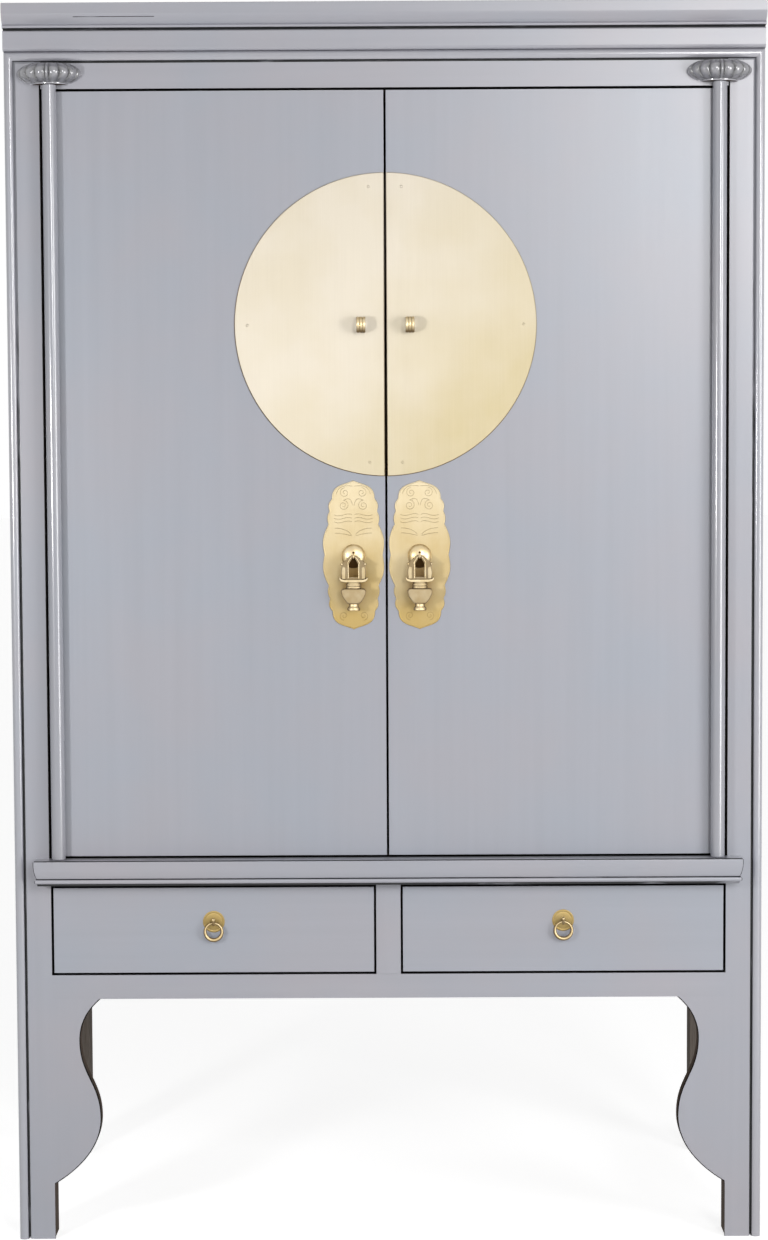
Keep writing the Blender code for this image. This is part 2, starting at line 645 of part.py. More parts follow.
def capital(side, word):
    # Half of a melon-lobed boss that carries the pole's top pin.
    stations = capital_stations()
    centre_y = FRONT + CAPITAL_RADIUS - CAPITAL_PROJECTION
    back = FRONT - FIT_GAP
    bm = bmesh.new()
    rows = []
    for height, radius, lobed in capital_section():
        widest = math.acos((centre_y - back) / radius)
        row = []
        for station, (turn_share, fullness) in enumerate(stations):
            r = radius * (1 - CAPITAL_LOBE_DEPTH * lobed * (1 - fullness))
            angle = widest * turn_share
            x = side * PIVOT_X + r * math.sin(angle)
            at_wall = station in (0, len(stations) - 1)
            y = back if at_wall else min(back, centre_y - r * math.cos(angle))
            row.append(bm.verts.new((x, y, CAPITAL_BOTTOM + height)))
        rows.append(row)
    for lower, upper in zip(rows, rows[1:]):
        for i in range(len(lower) - 1):
            bm.faces.new((lower[i], lower[i + 1], upper[i + 1], upper[i]))
    bm.faces.new(rows[0])
    bm.faces.new(rows[-1])
    bm.faces.new([r[0] for r in rows] + [r[-1] for r in reversed(rows)])
    made = finish(word + "_pivot_capital", bm, LACQUER, smooth=True)
    top = CAPITAL_BOTTOM + PIN_LENGTH + SOCKET_CLEARANCE
    hole = socket(word + "_capital_socket", side, CAPITAL_BOTTOM - CUT_OVERRUN, top)
    combine(made, hole, "DIFFERENCE")


def spandrel_curve():
    # (reach from the post, drop below the rail): a hollow, a waist, a round belly, the foot.
    top = (SPANDREL_TOP_REACH, 0.0)
    waist = (SPANDREL_WAIST_REACH, SPANDREL_WAIST_DROP)
    belly = (SPANDREL_BULGE_REACH, SPANDREL_BULGE_DROP)
    foot = (SPANDREL_TOE, SPANDREL_FOOT_DROP)
    swing = (belly[1] - waist[1]) * SPANDREL_SWING_SHARE
    scoop = (top[0] - SPANDREL_SCOOP[0], SPANDREL_SCOOP[1])
    toe = (foot[0] + SPANDREL_TOE_SWEEP[0], foot[1] - SPANDREL_TOE_SWEEP[1])
    hollow = [top, scoop, (waist[0], waist[1] - SPANDREL_WAIST_EASE), waist]
    sweep = [waist, (waist[0], waist[1] + swing), (belly[0], belly[1] - swing), belly]
    under = [belly, (belly[0], belly[1] + SPANDREL_BELLY_EASE), toe, foot]
    return bezier(hollow, 8) + bezier(sweep, 10)[1:] + bezier(under, 10)[1:]


def spandrel(side, word):
    curve = spandrel_curve()
    outline = [(0.0, 0.0)] + curve + [(0.0, SPANDREL_FOOT_DROP)]
    bm = bmesh.new()
    inner = POST_INNER - FIT_GAP
    under = LEG_OPENING - FIT_GAP
    prism(
        bm, outline, lambda u, v, w: (side * (inner - u), w, under - v),
        FRONT, FRONT + SPANDREL_THICKNESS,
    )
    finish(word + "_spandrel", bm, LACQUER)


def deck(name, low, high, front_line, front_half, look):
    # A horizontal board notched round the posts it meets.
    wide = PANEL_INNER - FIT_GAP
    rear_line = BACK_PANEL_FRONT - FIT_GAP
    rear_half = POST_INNER - FIT_GAP
    front_post_rear = FRONT + POST_DEPTH + FIT_GAP
    rear_post_front = BACK - POST_DEPTH - FIT_GAP
    right = []
    if front_line < front_post_rear:
        right += [(front_half, front_line), (front_half, front_post_rear), (wide, front_post_rear)]
    else:
        right += [(wide, front_line)]
    right += [(wide, rear_post_front), (rear_half, rear_post_front), (rear_half, rear_line)]
    outline = right + [(-x, y) for x, y in reversed(right)]
    bm = bmesh.new()
    prism(bm, outline, lambda u, v, w: (u, v, w), low, high)
    finish(name, bm, look)


def interior():
    floor_low = FLOOR_TOP - FLOOR_THICKNESS
    floor_half = POST_INNER - FLOOR_FRONT_INSET
    deck("cabinet_floor", floor_low, FLOOR_TOP, DOOR_REAR + FIT_GAP, floor_half, BARE_WOOD)
    deck("shelf", SHELF_BOTTOM, SHELF_TOP, FRONT + SHELF_SETBACK, 0, BARE_WOOD)
    front_end = FRONT + POST_DEPTH + FIT_GAP
    rear_end = BACK - POST_DEPTH - FIT_GAP
    cleat_outer = PANEL_INNER - FIT_GAP
    for side, word in ((-1, "left"), (1, "right")):
        board(
            word + "_shelf_cleat",
            (side * cleat_outer, front_end, SHELF_BOTTOM - FIT_GAP - CLEAT_HEIGHT),
            (side * (cleat_outer - CLEAT_WIDTH), rear_end, SHELF_BOTTOM - FIT_GAP),
            1, BARE_WOOD,
        )
    stop_half = POST_INNER - STOP_HALF_WIDTH_INSET
    stop_front = DOOR_REAR + FIT_GAP
    board(
        "door_stop",
        (-stop_half, stop_front, TOP_RAIL_BOTTOM - FIT_GAP - STOP_HEIGHT),
        (stop_half, stop_front + STOP_DEPTH, TOP_RAIL_BOTTOM - FIT_GAP),
        0, BARE_WOOD,
    )
    runner_front = FRONT + APRON_DEPTH + FIT_GAP
    runner_rear = BACK - BACK_RAIL_SETBACK - BACK_RAIL_THICKNESS - FIT_GAP
    outer = POST_INNER - FIT_GAP
    for side, word in ((-1, "left"), (1, "right")):
        board(
            word + "_drawer_runner",
            (side * outer, runner_front, RUNNER_TOP - RUNNER_HEIGHT),
            (side * (outer - RUNNER_WIDTH), runner_rear, RUNNER_TOP),
            1, BARE_WOOD,
        )
    half = CENTRE_RUNNER_WIDTH / 2
    board(
        "centre_drawer_runner",
        (-half, runner_front, RUNNER_TOP - RUNNER_HEIGHT), (half, runner_rear, RUNNER_TOP),
        1, BARE_WOOD,
    )


def door_pole(side, word, pivot):
    x = side * PIVOT_X
    low = LEDGE_TOP + POLE_CLEARANCE
    high = CAPITAL_BOTTOM - POLE_CLEARANCE
    section = [
        (0, LEDGE_TOP - PIN_LENGTH), (PIN_RADIUS, LEDGE_TOP - PIN_LENGTH), (PIN_RADIUS, low),
        (POLE_RADIUS, low), (POLE_RADIUS, high), (PIN_RADIUS, high),
        (PIN_RADIUS, CAPITAL_BOTTOM + PIN_LENGTH), (0, CAPITAL_BOTTOM + PIN_LENGTH),
    ]
    pole = turned(word + "_door_pole", section, Matrix.Translation((x, PIVOT_Y, 0)), LACQUER, 24, pivot)
    bm = bmesh.new()
    half = WEB_WIDTH / 2
    add_box(bm, (x - half, PIVOT_Y, DOOR_BOTTOM), (x + half, DOOR_REAR, DOOR_TOP))
    web = finish(word + "_door_web", bm, LACQUER, pivot)
    combine(pole, web, "UNION")


def door_panel(side, word, pivot):
    outer = PIVOT_X - WEB_WIDTH / 2 - FIT_GAP
    inner = DOOR_GAP / 2
    panel = board(
        word + "_door_panel",
        (side * outer, DOOR_FACE, DOOR_BOTTOM), (side * inner, DOOR_REAR, DOOR_TOP),
        2, LACQUER, parent=pivot,
    )
    middles = (DOOR_BOTTOM + BATTEN_FROM_END, DOOR_TOP - BATTEN_FROM_END)
    for place, middle in zip(("lower", "upper"), middles):
        batten = board(
            word + "_" + place + "_batten",
            (side * (outer - BATTEN_INSET), DOOR_REAR - CUT_OVERRUN, middle - BATTEN_WIDTH / 2),
            (side * (inner + BATTEN_INSET), DOOR_REAR + BATTEN_THICKNESS, middle + BATTEN_WIDTH / 2),
            0, LACQUER, parent=pivot,
        )
        combine(panel, batten, "UNION")
    return panel


def bored(obj, name, x, z, start, end):
    # A clearance hole for a cotter shank.
    hole = rod(name, SHANK_RADIUS + FIT_GAP, (x, start, z), (x, end, z), BRASS, 12, obj.parent)
    return combine(obj, hole, "DIFFERENCE")


def moon_plate(side, word, pivot):
    edge = DOOR_GAP / 2
    start = math.asin(edge / MOON_RADIUS)
    outline = []
    for i in range(49):
        angle = start + (math.pi - 2 * start) * i / 48
        outline.append((side * MOON_RADIUS * math.sin(angle), MOON_Z + MOON_RADIUS * math.cos(angle)))
    bm = bmesh.new()
    prism(bm, outline, lambda u, v, w: (u, w, v), PLATE_FRONT, PLATE_BACK)
    finish(word + "_moon_plate", bm, BRASS, pivot)


def lock_staple(side, word, pivot):
    # A strap bent to a loop, so that a bar can lie across both doors.
    back = PLATE_FRONT - FIT_GAP
    half = STAPLE_HEIGHT / 2
    flat = STAPLE_PROJECTION - half
    outline = []
    for radius, order in ((half, range(13)), (half - STAPLE_WALL, range(12, -1, -1))):
        arc = [
            (back - flat - radius * math.sin(math.pi * i / 12), MOON_Z + radius * math.cos(math.pi * i / 12))
            for i in order
        ]
        ends = [(back, arc[0][1]), (back, arc[-1][1])]
        outline += [ends[0]] + arc + [ends[1]]
    bm = bmesh.new()
    middle = side * STAPLE_X
    prism(
        bm, outline, lambda u, v, w: (w, u, v),
        middle - STAPLE_WIDTH / 2, middle + STAPLE_WIDTH / 2,
    )
    finish(word + "_lock_staple", bm, BRASS, pivot)


def pull_plate(side, word, pivot):
    quarter = bezier(PULL_PLATE_OGEE, 8)
    for x, z, bulge in PULL_PLATE_NOTCHES:
        quarter += bulged(quarter[-1], (x, z), bulge, 5)
    right = quarter + [(x, -z) for x, z in reversed(quarter[:-1])]
    outline = right + [(-x, z) for x, z in reversed(right[1:-1])]
    bm = bmesh.new()
    prism(
        bm, outline, lambda u, v, w: (side * PULL_X + u, w, PULL_PLATE_Z + v),
        PLATE_FRONT, PLATE_BACK,
    )
    plate = finish(word + "_pull_plate", bm, BRASS, pivot)
    start = PLATE_FRONT - CUT_OVERRUN
    end = PLATE_BACK + CUT_OVERRUN
    bored(plate, word + "_pull_plate_hole", side * PULL_X, PULL_AXIS_Z, start, end)


def pull_boss(side, word, pivot):
    # Dome, shank and cotter loop are one casting; the drop pull hangs in the loop.
    x = side * PULL_X
    base = PLATE_FRONT - FIT_GAP
    section = [(0, 0), (BOSS_RADIUS, 0), (BOSS_RADIUS, BOSS_RIM)]
    for i in range(1, 6):
        angle = math.pi / 2 * i / 6
        height = BOSS_RIM + (BOSS_HEIGHT - BOSS_RIM) * math.sin(angle)
        section.append((BOSS_RADIUS * math.cos(angle), height))
    section.append((0, BOSS_HEIGHT))
    boss = turned(
        word + "_pull_boss", section, towards_front(x, base, PULL_AXIS_Z), BRASS, 28, pivot
    )
    hole = PULL_BAR_RADIUS + LOOP_CLEARANCE
    ring = loop(
        word + "_cotter_loop", hole + LOOP_WIRE_RADIUS, LOOP_WIRE_RADIUS,
        Matrix.Translation((x, PULL_AXIS_Y, PULL_AXIS_Z)) @ Matrix.Rotation(math.pi / 2, 4, "Y"),
        BRASS, parent=pivot,
    )
    start = (x, PULL_AXIS_Y + hole + LOOP_WIRE_RADIUS, PULL_AXIS_Z)
    end = (x, DOOR_FACE + SHANK_DEPTH, PULL_AXIS_Z)
    shank = rod(word + "_cotter_shank", SHANK_RADIUS, start, end, BRASS, 12, pivot)
    combine(boss, ring, "UNION")
    combine(boss, shank, "UNION")


def drop_pull(side, word, pivot):
    x = side * PULL_X
    place = Matrix.Translation((x, PULL_AXIS_Y, PULL_AXIS_Z))
    flatten = Matrix.Diagonal((1.0, PULL_BODY_FLATTEN, 1.0, 1.0))
    section = [(radius, -drop) for radius, drop in PULL_BODY_SECTION]
    pull = turned(word + "_drop_pull", section, place @ flatten, BRASS, 24, pivot)
    outer = PULL_FRAME_OUTER
    inner = PULL_FRAME_INNER
    # Down the right edge, up the left one, then round the window from left to right.
    outline = outer + [(-u, v) for u, v in reversed(outer)]
    outline += [(-u, v) for u, v in reversed(inner)] + inner
    bm = bmesh.new()
    half = PULL_FRAME_DEPTH / 2
    prism(
        bm, outline, lambda u, v, w: (x + u, PULL_AXIS_Y + w, PULL_AXIS_Z - v), -half, half,
    )
    window_frame = finish(word + "_pull_frame", bm, BRASS, pivot)
    bar = rod(
        word + "_pull_bar", PULL_BAR_RADIUS,
        (x - PULL_BAR_HALF_LENGTH, PULL_AXIS_Y, PULL_AXIS_Z),
        (x + PULL_BAR_HALF_LENGTH, PULL_AXIS_Y, PULL_AXIS_Z), BRASS, 12, pivot,
    )
    combine(pull, window_frame, "UNION")
    combine(pull, bar, "UNION")


def door(side, word):
    pivot = joint_empty(word + "_door_pivot", (side * PIVOT_X, PIVOT_Y, LEDGE_TOP))
    door_pole(side, word, pivot)
    panel = door_panel(side, word, pivot)
    depth = DOOR_FACE + SHANK_DEPTH + MORTISE_END_GAP
    start = DOOR_FACE - CUT_OVERRUN
    bored(panel, word + "_door_shank_hole", side * PULL_X, PULL_AXIS_Z, start, depth)
    moon_plate(side, word, pivot)
    lock_staple(side, word, pivot)
    pull_plate(side, word, pivot)
    pull_boss(side, word, pivot)
    hang = joint_empty(word + "_pull_pivot", (side * PULL_X, PULL_AXIS_Y, PULL_AXIS_Z))
    hang.parent = pivot
    hang.matrix_parent_inverse = pivot.matrix_world.inverted()
    bpy.context.view_layer.update()
    drop_pull(side, word, hang)


def drawer_box(side, word, slide, outer, inner):
    low = DRAWER_BOTTOM_Z + DRAWER_SIDE_RAISE
    front_line = DRAWER_FACE + DRAWER_FRONT_THICKNESS + FIT_GAP
    rear_line = BACK_PANEL_FRONT - DRAWER_BACK_ROOM
    wall = DRAWER_SIDE_THICKNESS
    a = outer - DRAWER_SIDE_INSET
    b = inner + DRAWER_SIDE_INSET
    outline = [
        (a, front_line), (a, rear_line), (b, rear_line), (b, front_line), (b + wall, front_line),
        (b + wall, rear_line - wall), (a - wall, rear_line - wall), (a - wall, front_line),
    ]
    bm = bmesh.new()
    prism(bm, outline, lambda u, v, w: (side * u, v, w), low, low + DRAWER_SIDE_HEIGHT)
    finish(word + "_drawer_box", bm, BARE_WOOD, slide)
    bottom = low + DRAWER_BOTTOM_RAISE
    board(
        word + "_drawer_bottom",
        (side * (a - wall - FIT_GAP), front_line, bottom),
        (side * (b + wall + FIT_GAP), rear_line - wall - FIT_GAP, bottom + DRAWER_BOTTOM_THICKNESS),
        1, BARE_WOOD, parent=slide, ease=0,
    )


def ring_pull(side, word, slide):
    x = side * RING_X
    base = DRAWER_FACE - FIT_GAP
    hole = SHANK_RADIUS + FIT_GAP
    section = [
        (hole, 0), (RING_PLATE_RADIUS, 0), (RING_PLATE_RADIUS, BRASS_THICKNESS - RING_PLATE_BEVEL),
        (RING_PLATE_RADIUS - RING_PLATE_BEVEL, BRASS_THICKNESS), (hole, BRASS_THICKNESS), (hole, 0),
    ]
    turned(word + "_ring_plate", section, towards_front(x, base, RING_AXIS_Z), BRASS, 28, slide)
    inside = RING_WIRE_RADIUS + EYE_CLEARANCE
    eye = loop(
        word + "_ring_cotter", inside + EYE_WIRE_RADIUS, EYE_WIRE_RADIUS,
        Matrix.Translation((x, RING_AXIS_Y, RING_AXIS_Z)) @ Matrix.Rotation(math.pi / 2, 4, "Y"),
        BRASS, parent=slide,
    )
    start = (x, RING_AXIS_Y + inside + EYE_WIRE_RADIUS, RING_AXIS_Z)
    end = (x, DRAWER_FACE + SHANK_DEPTH, RING_AXIS_Z)
    shank = rod(word + "_ring_shank", SHANK_RADIUS, start, end, BRASS, 12, slide)
    combine(eye, shank, "UNION")
    hang = joint_empty(word + "_ring_pivot", (x, RING_AXIS_Y, RING_AXIS_Z))
    hang.parent = slide
    hang.matrix_parent_inverse = slide.matrix_world.inverted()
    bpy.context.view_layer.update()
    loop(
        word + "_ring_pull", RING_RADIUS, RING_WIRE_RADIUS,
        towards_front(x, RING_AXIS_Y, RING_AXIS_Z - RING_RADIUS), BRASS, 36, 10, hang,
    )


def drawer(side, word):
    outer = POST_INNER - DRAWER_GAP
    inner = DIVIDER_WIDTH / 2 + DRAWER_GAP
    slide = joint_empty(word + "_drawer_slide", (side * RING_X, DRAWER_FACE, DRAWER_BOTTOM_Z))
    face = board(
        word + "_drawer_front",
        (side * outer, DRAWER_FACE, DRAWER_BOTTOM_Z),
        (side * inner, DRAWER_FACE + DRAWER_FRONT_THICKNESS, DRAWER_TOP_Z),
        0, LACQUER, parent=slide,
    )
    depth = DRAWER_FACE + SHANK_DEPTH + MORTISE_END_GAP
    start = DRAWER_FACE - CUT_OVERRUN
    bored(face, word + "_drawer_shank_hole", side * RING_X, RING_AXIS_Z, start, depth)
    drawer_box(side, word, slide, outer, inner)
    ring_pull(side, word, slide)


frame()
cornice()
ledge()
interior()
for side, word in ((-1, "left"), (1, "right")):
    capital(side, word)
    spandrel(side, word)
    door(side, word)
    drawer(side, word)
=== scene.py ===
import math

import bmesh
import bpy
from mathutils import Matrix, Vector


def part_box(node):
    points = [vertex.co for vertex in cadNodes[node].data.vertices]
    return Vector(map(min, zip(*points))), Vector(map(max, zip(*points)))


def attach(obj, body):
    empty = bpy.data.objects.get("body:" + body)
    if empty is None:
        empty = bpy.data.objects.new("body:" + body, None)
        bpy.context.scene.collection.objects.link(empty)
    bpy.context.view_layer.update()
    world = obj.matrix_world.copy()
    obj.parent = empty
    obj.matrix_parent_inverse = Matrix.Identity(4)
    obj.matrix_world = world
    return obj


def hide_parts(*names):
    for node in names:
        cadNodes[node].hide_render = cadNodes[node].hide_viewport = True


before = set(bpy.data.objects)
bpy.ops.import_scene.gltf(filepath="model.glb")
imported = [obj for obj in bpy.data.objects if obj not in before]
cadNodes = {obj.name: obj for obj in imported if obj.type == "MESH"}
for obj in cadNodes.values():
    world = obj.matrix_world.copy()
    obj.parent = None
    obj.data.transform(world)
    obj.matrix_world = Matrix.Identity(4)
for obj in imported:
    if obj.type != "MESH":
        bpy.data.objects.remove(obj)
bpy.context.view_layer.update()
mm = 0.001
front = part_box("top_rail")[0].y  # the plane of the rails and posts
sides = ((-1, "left"), (1, "right"))
print("frame loaded,", len(cadNodes), "nodes")


# selecting and editing

def onlySelect(*objs):
    bpy.ops.object.select_all(action="DESELECT")
    for obj in objs:
        obj.select_set(True)
    bpy.context.view_layer.objects.active = objs[0]


def startEdit(obj, kind="FACE"):
    onlySelect(obj)
    bpy.ops.object.mode_set(mode="EDIT")
    bpy.ops.mesh.select_mode(type=kind)
    bpy.ops.mesh.select_all(action="DESELECT")


def endEdit():
    bpy.ops.mesh.select_all(action="SELECT")
    bpy.ops.mesh.remove_doubles(threshold=0.005 * mm)
    bpy.ops.mesh.normals_make_consistent(inside=False)
    bpy.ops.object.mode_set(mode="OBJECT")


def pick(obj, kind, test):
    mesh = bmesh.from_edit_mesh(obj.data)
    for item in getattr(mesh, kind):
        if test(item):
            item.select_set(True)
    bmesh.update_edit_mesh(obj.data)


def near(a, b):
    return abs(a - b) < 0.02 * mm


def isSharp(edge):
    return edge.calc_face_angle(0) > math.radians(32)


def addNamed(name):
    made = bpy.context.active_object
    made.name = name
    bpy.ops.object.transform_apply(location=True, rotation=True, scale=True)
    return made


def addBlock(name, low, high):
    low, high = Vector(map(min, low, high)), Vector(map(max, low, high))
    bpy.ops.object.select_all(action="DESELECT")
    bpy.ops.mesh.primitive_cube_add(size=1, location=(low + high) / 2, scale=high - low)
    return addNamed(name)


def addOutline(name, points, filled=True):
    bpy.ops.object.select_all(action="DESELECT")
    bpy.ops.mesh.primitive_circle_add(vertices=len(points), fill_type="NGON" if filled else "NOTHING")
    outline = addNamed(name)
    for corner, place in zip(outline.data.vertices, points):
        corner.co = place
    return outline


def pullOut(obj, way):
    startEdit(obj)
    bpy.ops.mesh.select_all(action="SELECT")
    bpy.ops.mesh.extrude_region_move(TRANSFORM_OT_translate={"value": way})
    endEdit()
    return obj


def easeEdges(obj, width, test=isSharp, steps=2):
    startEdit(obj, "EDGE")
    pick(obj, "edges", test)
    bpy.ops.mesh.bevel(offset=width, segments=steps, affect="EDGES", clamp_overlap=True)
    endEdit()
    return obj


def sawOff(obj, place, facing):
    startEdit(obj)
    bpy.ops.mesh.select_all(action="SELECT")
    bpy.ops.mesh.bisect(plane_co=place, plane_no=facing, use_fill=True, clear_outer=True)
    endEdit()
    return obj


# lines cut round a piece, square to an axis
def scoreAcross(obj, places, axis=(0, 0, 1)):
    startEdit(obj)
    for place in places:
        bpy.ops.mesh.select_all(action="SELECT")
        bpy.ops.mesh.bisect(plane_co=Vector(axis) * place, plane_no=axis)
    endEdit()
    return obj


def moveTo(obj, place, turn=(0, 0, 0), scale=(1, 1, 1)):
    onlySelect(obj)
    obj.location, obj.rotation_euler, obj.scale = place, turn, scale
    bpy.ops.object.transform_apply(location=True, rotation=True, scale=True)
    return obj


# a section of (radius, height) points spun about the upright axis
def turnOnLathe(name, section, steps=64):
    outline = addOutline(name, [(radius, 0, height) for radius, height in section], filled=False)
    startEdit(outline, "EDGE")
    pick(outline, "edges", lambda edge: all(near(v.co.x, 0) for v in edge.verts))
    bpy.ops.mesh.delete(type="EDGE")
    bpy.ops.mesh.select_all(action="SELECT")
    bpy.ops.mesh.spin(steps=steps, angle=math.tau, center=(0, 0, 0), axis=(0, 0, 1))
    endEdit()
    return outline


# a round wire along a line of points
def addWire(name, points, radius, closed=False, facets=3):
    if len(points) == 2:
        points = [points[0], tuple((a + b) / 2 for a, b in zip(*points)), points[1]]
    wire = addOutline(name, points, filled=False)
    if not closed:
        startEdit(wire, "EDGE")
        ends = {0, len(points) - 1}
        pick(wire, "edges", lambda edge: {v.index for v in edge.verts} == ends)
        bpy.ops.mesh.delete(type="EDGE_FACE")
        bpy.ops.object.mode_set(mode="OBJECT")
    onlySelect(wire)
    bpy.ops.object.convert(target="CURVE")
    wire.data.bevel_depth = radius
    wire.data.bevel_resolution = facets
    wire.data.use_fill_caps = True
    bpy.ops.object.convert(target="MESH")
    return wire


def joinTo(whole, *others):
    onlySelect(whole, *others)
    bpy.ops.object.join()
    return whole


def copyOf(obj, name):
    onlySelect(obj)
    bpy.ops.object.duplicate()
    copied = bpy.context.active_object
    copied.name = name
    return copied


def mirrored(obj, name):
    copied = moveTo(copyOf(obj, name), (0, 0, 0), scale=(-1, 1, 1))
    startEdit(copied)
    endEdit()
    return copied


def useModifier(obj, kind, **settings):
    onlySelect(obj)
    bpy.ops.object.modifier_add(type=kind)
    modifier = obj.modifiers[-1]
    for key, value in settings.items():
        setattr(modifier, key, value)
    bpy.ops.object.modifier_apply(modifier=modifier.name)
    return obj


def markFaces(obj, index, test):
    for face in obj.data.polygons:
        if test(face.center, face.normal):
            face.material_index = index


def finishPiece(obj, body, finishes, replaced, smooth=35):
    onlySelect(obj)
    bpy.ops.object.shade_smooth_by_angle(angle=math.radians(smooth))
    useModifier(obj, "WEIGHTED_NORMAL", keep_sharp=True)
    for finish in finishes:
        obj.data.materials.append(finish)
    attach(obj, body)
    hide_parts(*replaced)
    return obj


def bezier(points, count):
    curve = []
    for i in range(count + 1):
        t = i / count
        weights = ((1 - t) ** 3, 3 * t * (1 - t) ** 2, 3 * t * t * (1 - t), t ** 3)
        curve.append(tuple(sum(w * p[k] for w, p in zip(weights, points)) for k in (0, 1)))
    return curve


# an ellipse's upper half, from +half to -half along, as (along, out)
def halfRound(middle, half, base, proud, count):
    turns = [math.pi * i / count for i in range(count + 1)]
    return [(middle + half * math.cos(t), base + proud * math.sin(t)) for t in turns]


# materials

def linear(hexColour):
    parts = [int(hexColour[i:i + 2], 16) / 255 for i in (0, 2, 4)]
    return [c / 12.92 if c <= 0.04045 else ((c + 0.055) / 1.055) ** 2.4 for c in parts] + [1]


def addNode(tree, kind, settings={}, inputs={}):
    node = tree.nodes.new(kind)
    for key, value in settings.items():
        setattr(node, key, value)
    for key, value in inputs.items():
        if isinstance(value, bpy.types.NodeSocket):
            tree.links.new(value, node.inputs[key])
        else:
            node.inputs[key].default_value = value
    return node


def newMaterial(name, **shader):
    material = bpy.data.materials.new(name)
    material.use_nodes = True
    tree = material.node_tree
    principled = tree.nodes["Principled BSDF"]
    for key, value in shader.items():
        principled.inputs[key.replace("_", " ")].default_value = value
    return material, tree, principled


def acrossAndAlong(along, longSize, wideSize):
    return [1 / (mm * (longSize if axis == along else wideSize)) for axis in "xyz"]


# the "pole" tints are the frame's a little darker, as painted shade on the door poles
lacquerLook = {
    "frame": ("A6A8B1", "ABA9B0"), "panel": ("A5A9B3", "A9A9B1"),
    "pole": ("9A9CA5", "9E9DA4"), "glaze": "141418",
    "cloudSize": 210, "streakSize": (700, 16), "brushSize": (240, 1.8),
    "flat": {"roughness": (0.32, 0.42), "coat": 0.9, "coatRoughness": 0.3, "coatIor": 1.5},
    "turned": {"roughness": (0.30, 0.38), "coat": 1.0, "coatRoughness": 0.14, "coatIor": 1.8},
    "carved": {"roughness": (0.26, 0.32), "coat": 1.0, "coatRoughness": 0.11, "coatIor": 2.2},
}


# satin grey lacquer brushed over wood: soft cloudy tints, faint streaks along the grain,
# a half-matt sheen, and near black where the glaze layer is painted: glaze left in the grooves, and painted shade
def satinLacquer(name, along, polish="flat", tints="frame"):
    look = lacquerLook
    cool, warm = look[tints]
    gloss = look[polish]
    material, tree, shader = newMaterial(name, IOR=1.5, Coat_Weight=gloss["coat"],
                                         Coat_Roughness=gloss["coatRoughness"], Coat_IOR=gloss["coatIor"])
    place = addNode(tree, "ShaderNodeTexCoord").outputs["Object"]
    clouds = addNode(tree, "ShaderNodeTexNoise", {}, {
        "Vector": place, "Scale": 1 / (mm * look["cloudSize"]), "Detail": 3.0, "Roughness": 0.55})
    streakMap = addNode(tree, "ShaderNodeMapping", {}, {
        "Vector": place, "Scale": acrossAndAlong(along, *look["streakSize"])})
    streaks = addNode(tree, "ShaderNodeTexNoise", {}, {
        "Vector": streakMap.outputs[0], "Scale": 1.0, "Detail": 5.0, "Roughness": 0.6})
    brushMap = addNode(tree, "ShaderNodeMapping", {}, {
        "Vector": place, "Scale": acrossAndAlong(along, *look["brushSize"])})
    brush = addNode(tree, "ShaderNodeTexNoise", {}, {
        "Vector": brushMap.outputs[0], "Scale": 1.0, "Detail": 2.0})
    spread = addNode(tree, "ShaderNodeMapRange", {}, {
        "Value": clouds.outputs[0], "From Min": 0.36, "From Max": 0.64})
    tint = addNode(tree, "ShaderNodeMix", {"data_type": "RGBA"}, {
        0: spread.outputs[0], 6: linear(cool), 7: linear(warm)})
    depth = addNode(tree, "ShaderNodeMapRange", {}, {
        "Value": streaks.outputs[0], "From Min": 0.3, "From Max": 0.7, "To Min": 0.98, "To Max": 1.02})
    streaked = addNode(tree, "ShaderNodeVectorMath", {"operation": "SCALE"}, {
        0: tint.outputs[2], "Scale": depth.outputs[0]})
    painted = addNode(tree, "ShaderNodeAttribute", {"attribute_name": "glaze"})
    rubbed = addNode(tree, "ShaderNodeMapRange", {}, {
        "Value": brush.outputs[0], "From Min": 0.3, "From Max": 0.6, "To Min": 0.8, "To Max": 1.0})
    glaze = addNode(tree, "ShaderNodeMath", {"operation": "MULTIPLY"}, {
        0: painted.outputs["Fac"], 1: rubbed.outputs[0]})
    glazed = addNode(tree, "ShaderNodeMix", {"data_type": "RGBA"}, {
        0: glaze.outputs[0], 6: streaked.outputs[0], 7: linear(look["glaze"])})
    tree.links.new(glazed.outputs[2], shader.inputs["Base Color"])
    sheen = addNode(tree, "ShaderNodeMapRange", {}, {
        "Value": streaks.outputs[0], "From Min": 0.3, "From Max": 0.7,
        "To Min": gloss["roughness"][0], "To Max": gloss["roughness"][1]})
    tree.links.new(sheen.outputs[0], shader.inputs["Roughness"])
    relief = addNode(tree, "ShaderNodeBump", {}, {
        "Height": brush.outputs[0], "Strength": 0.05, "Distance": 0.15 * mm})
    tree.links.new(relief.outputs[0], shader.inputs["Normal"])
    return material


quirkLineLook = {"black": "101114", "grey": "8F9097", "patchSize": (70, 5), "fade": 0.4}
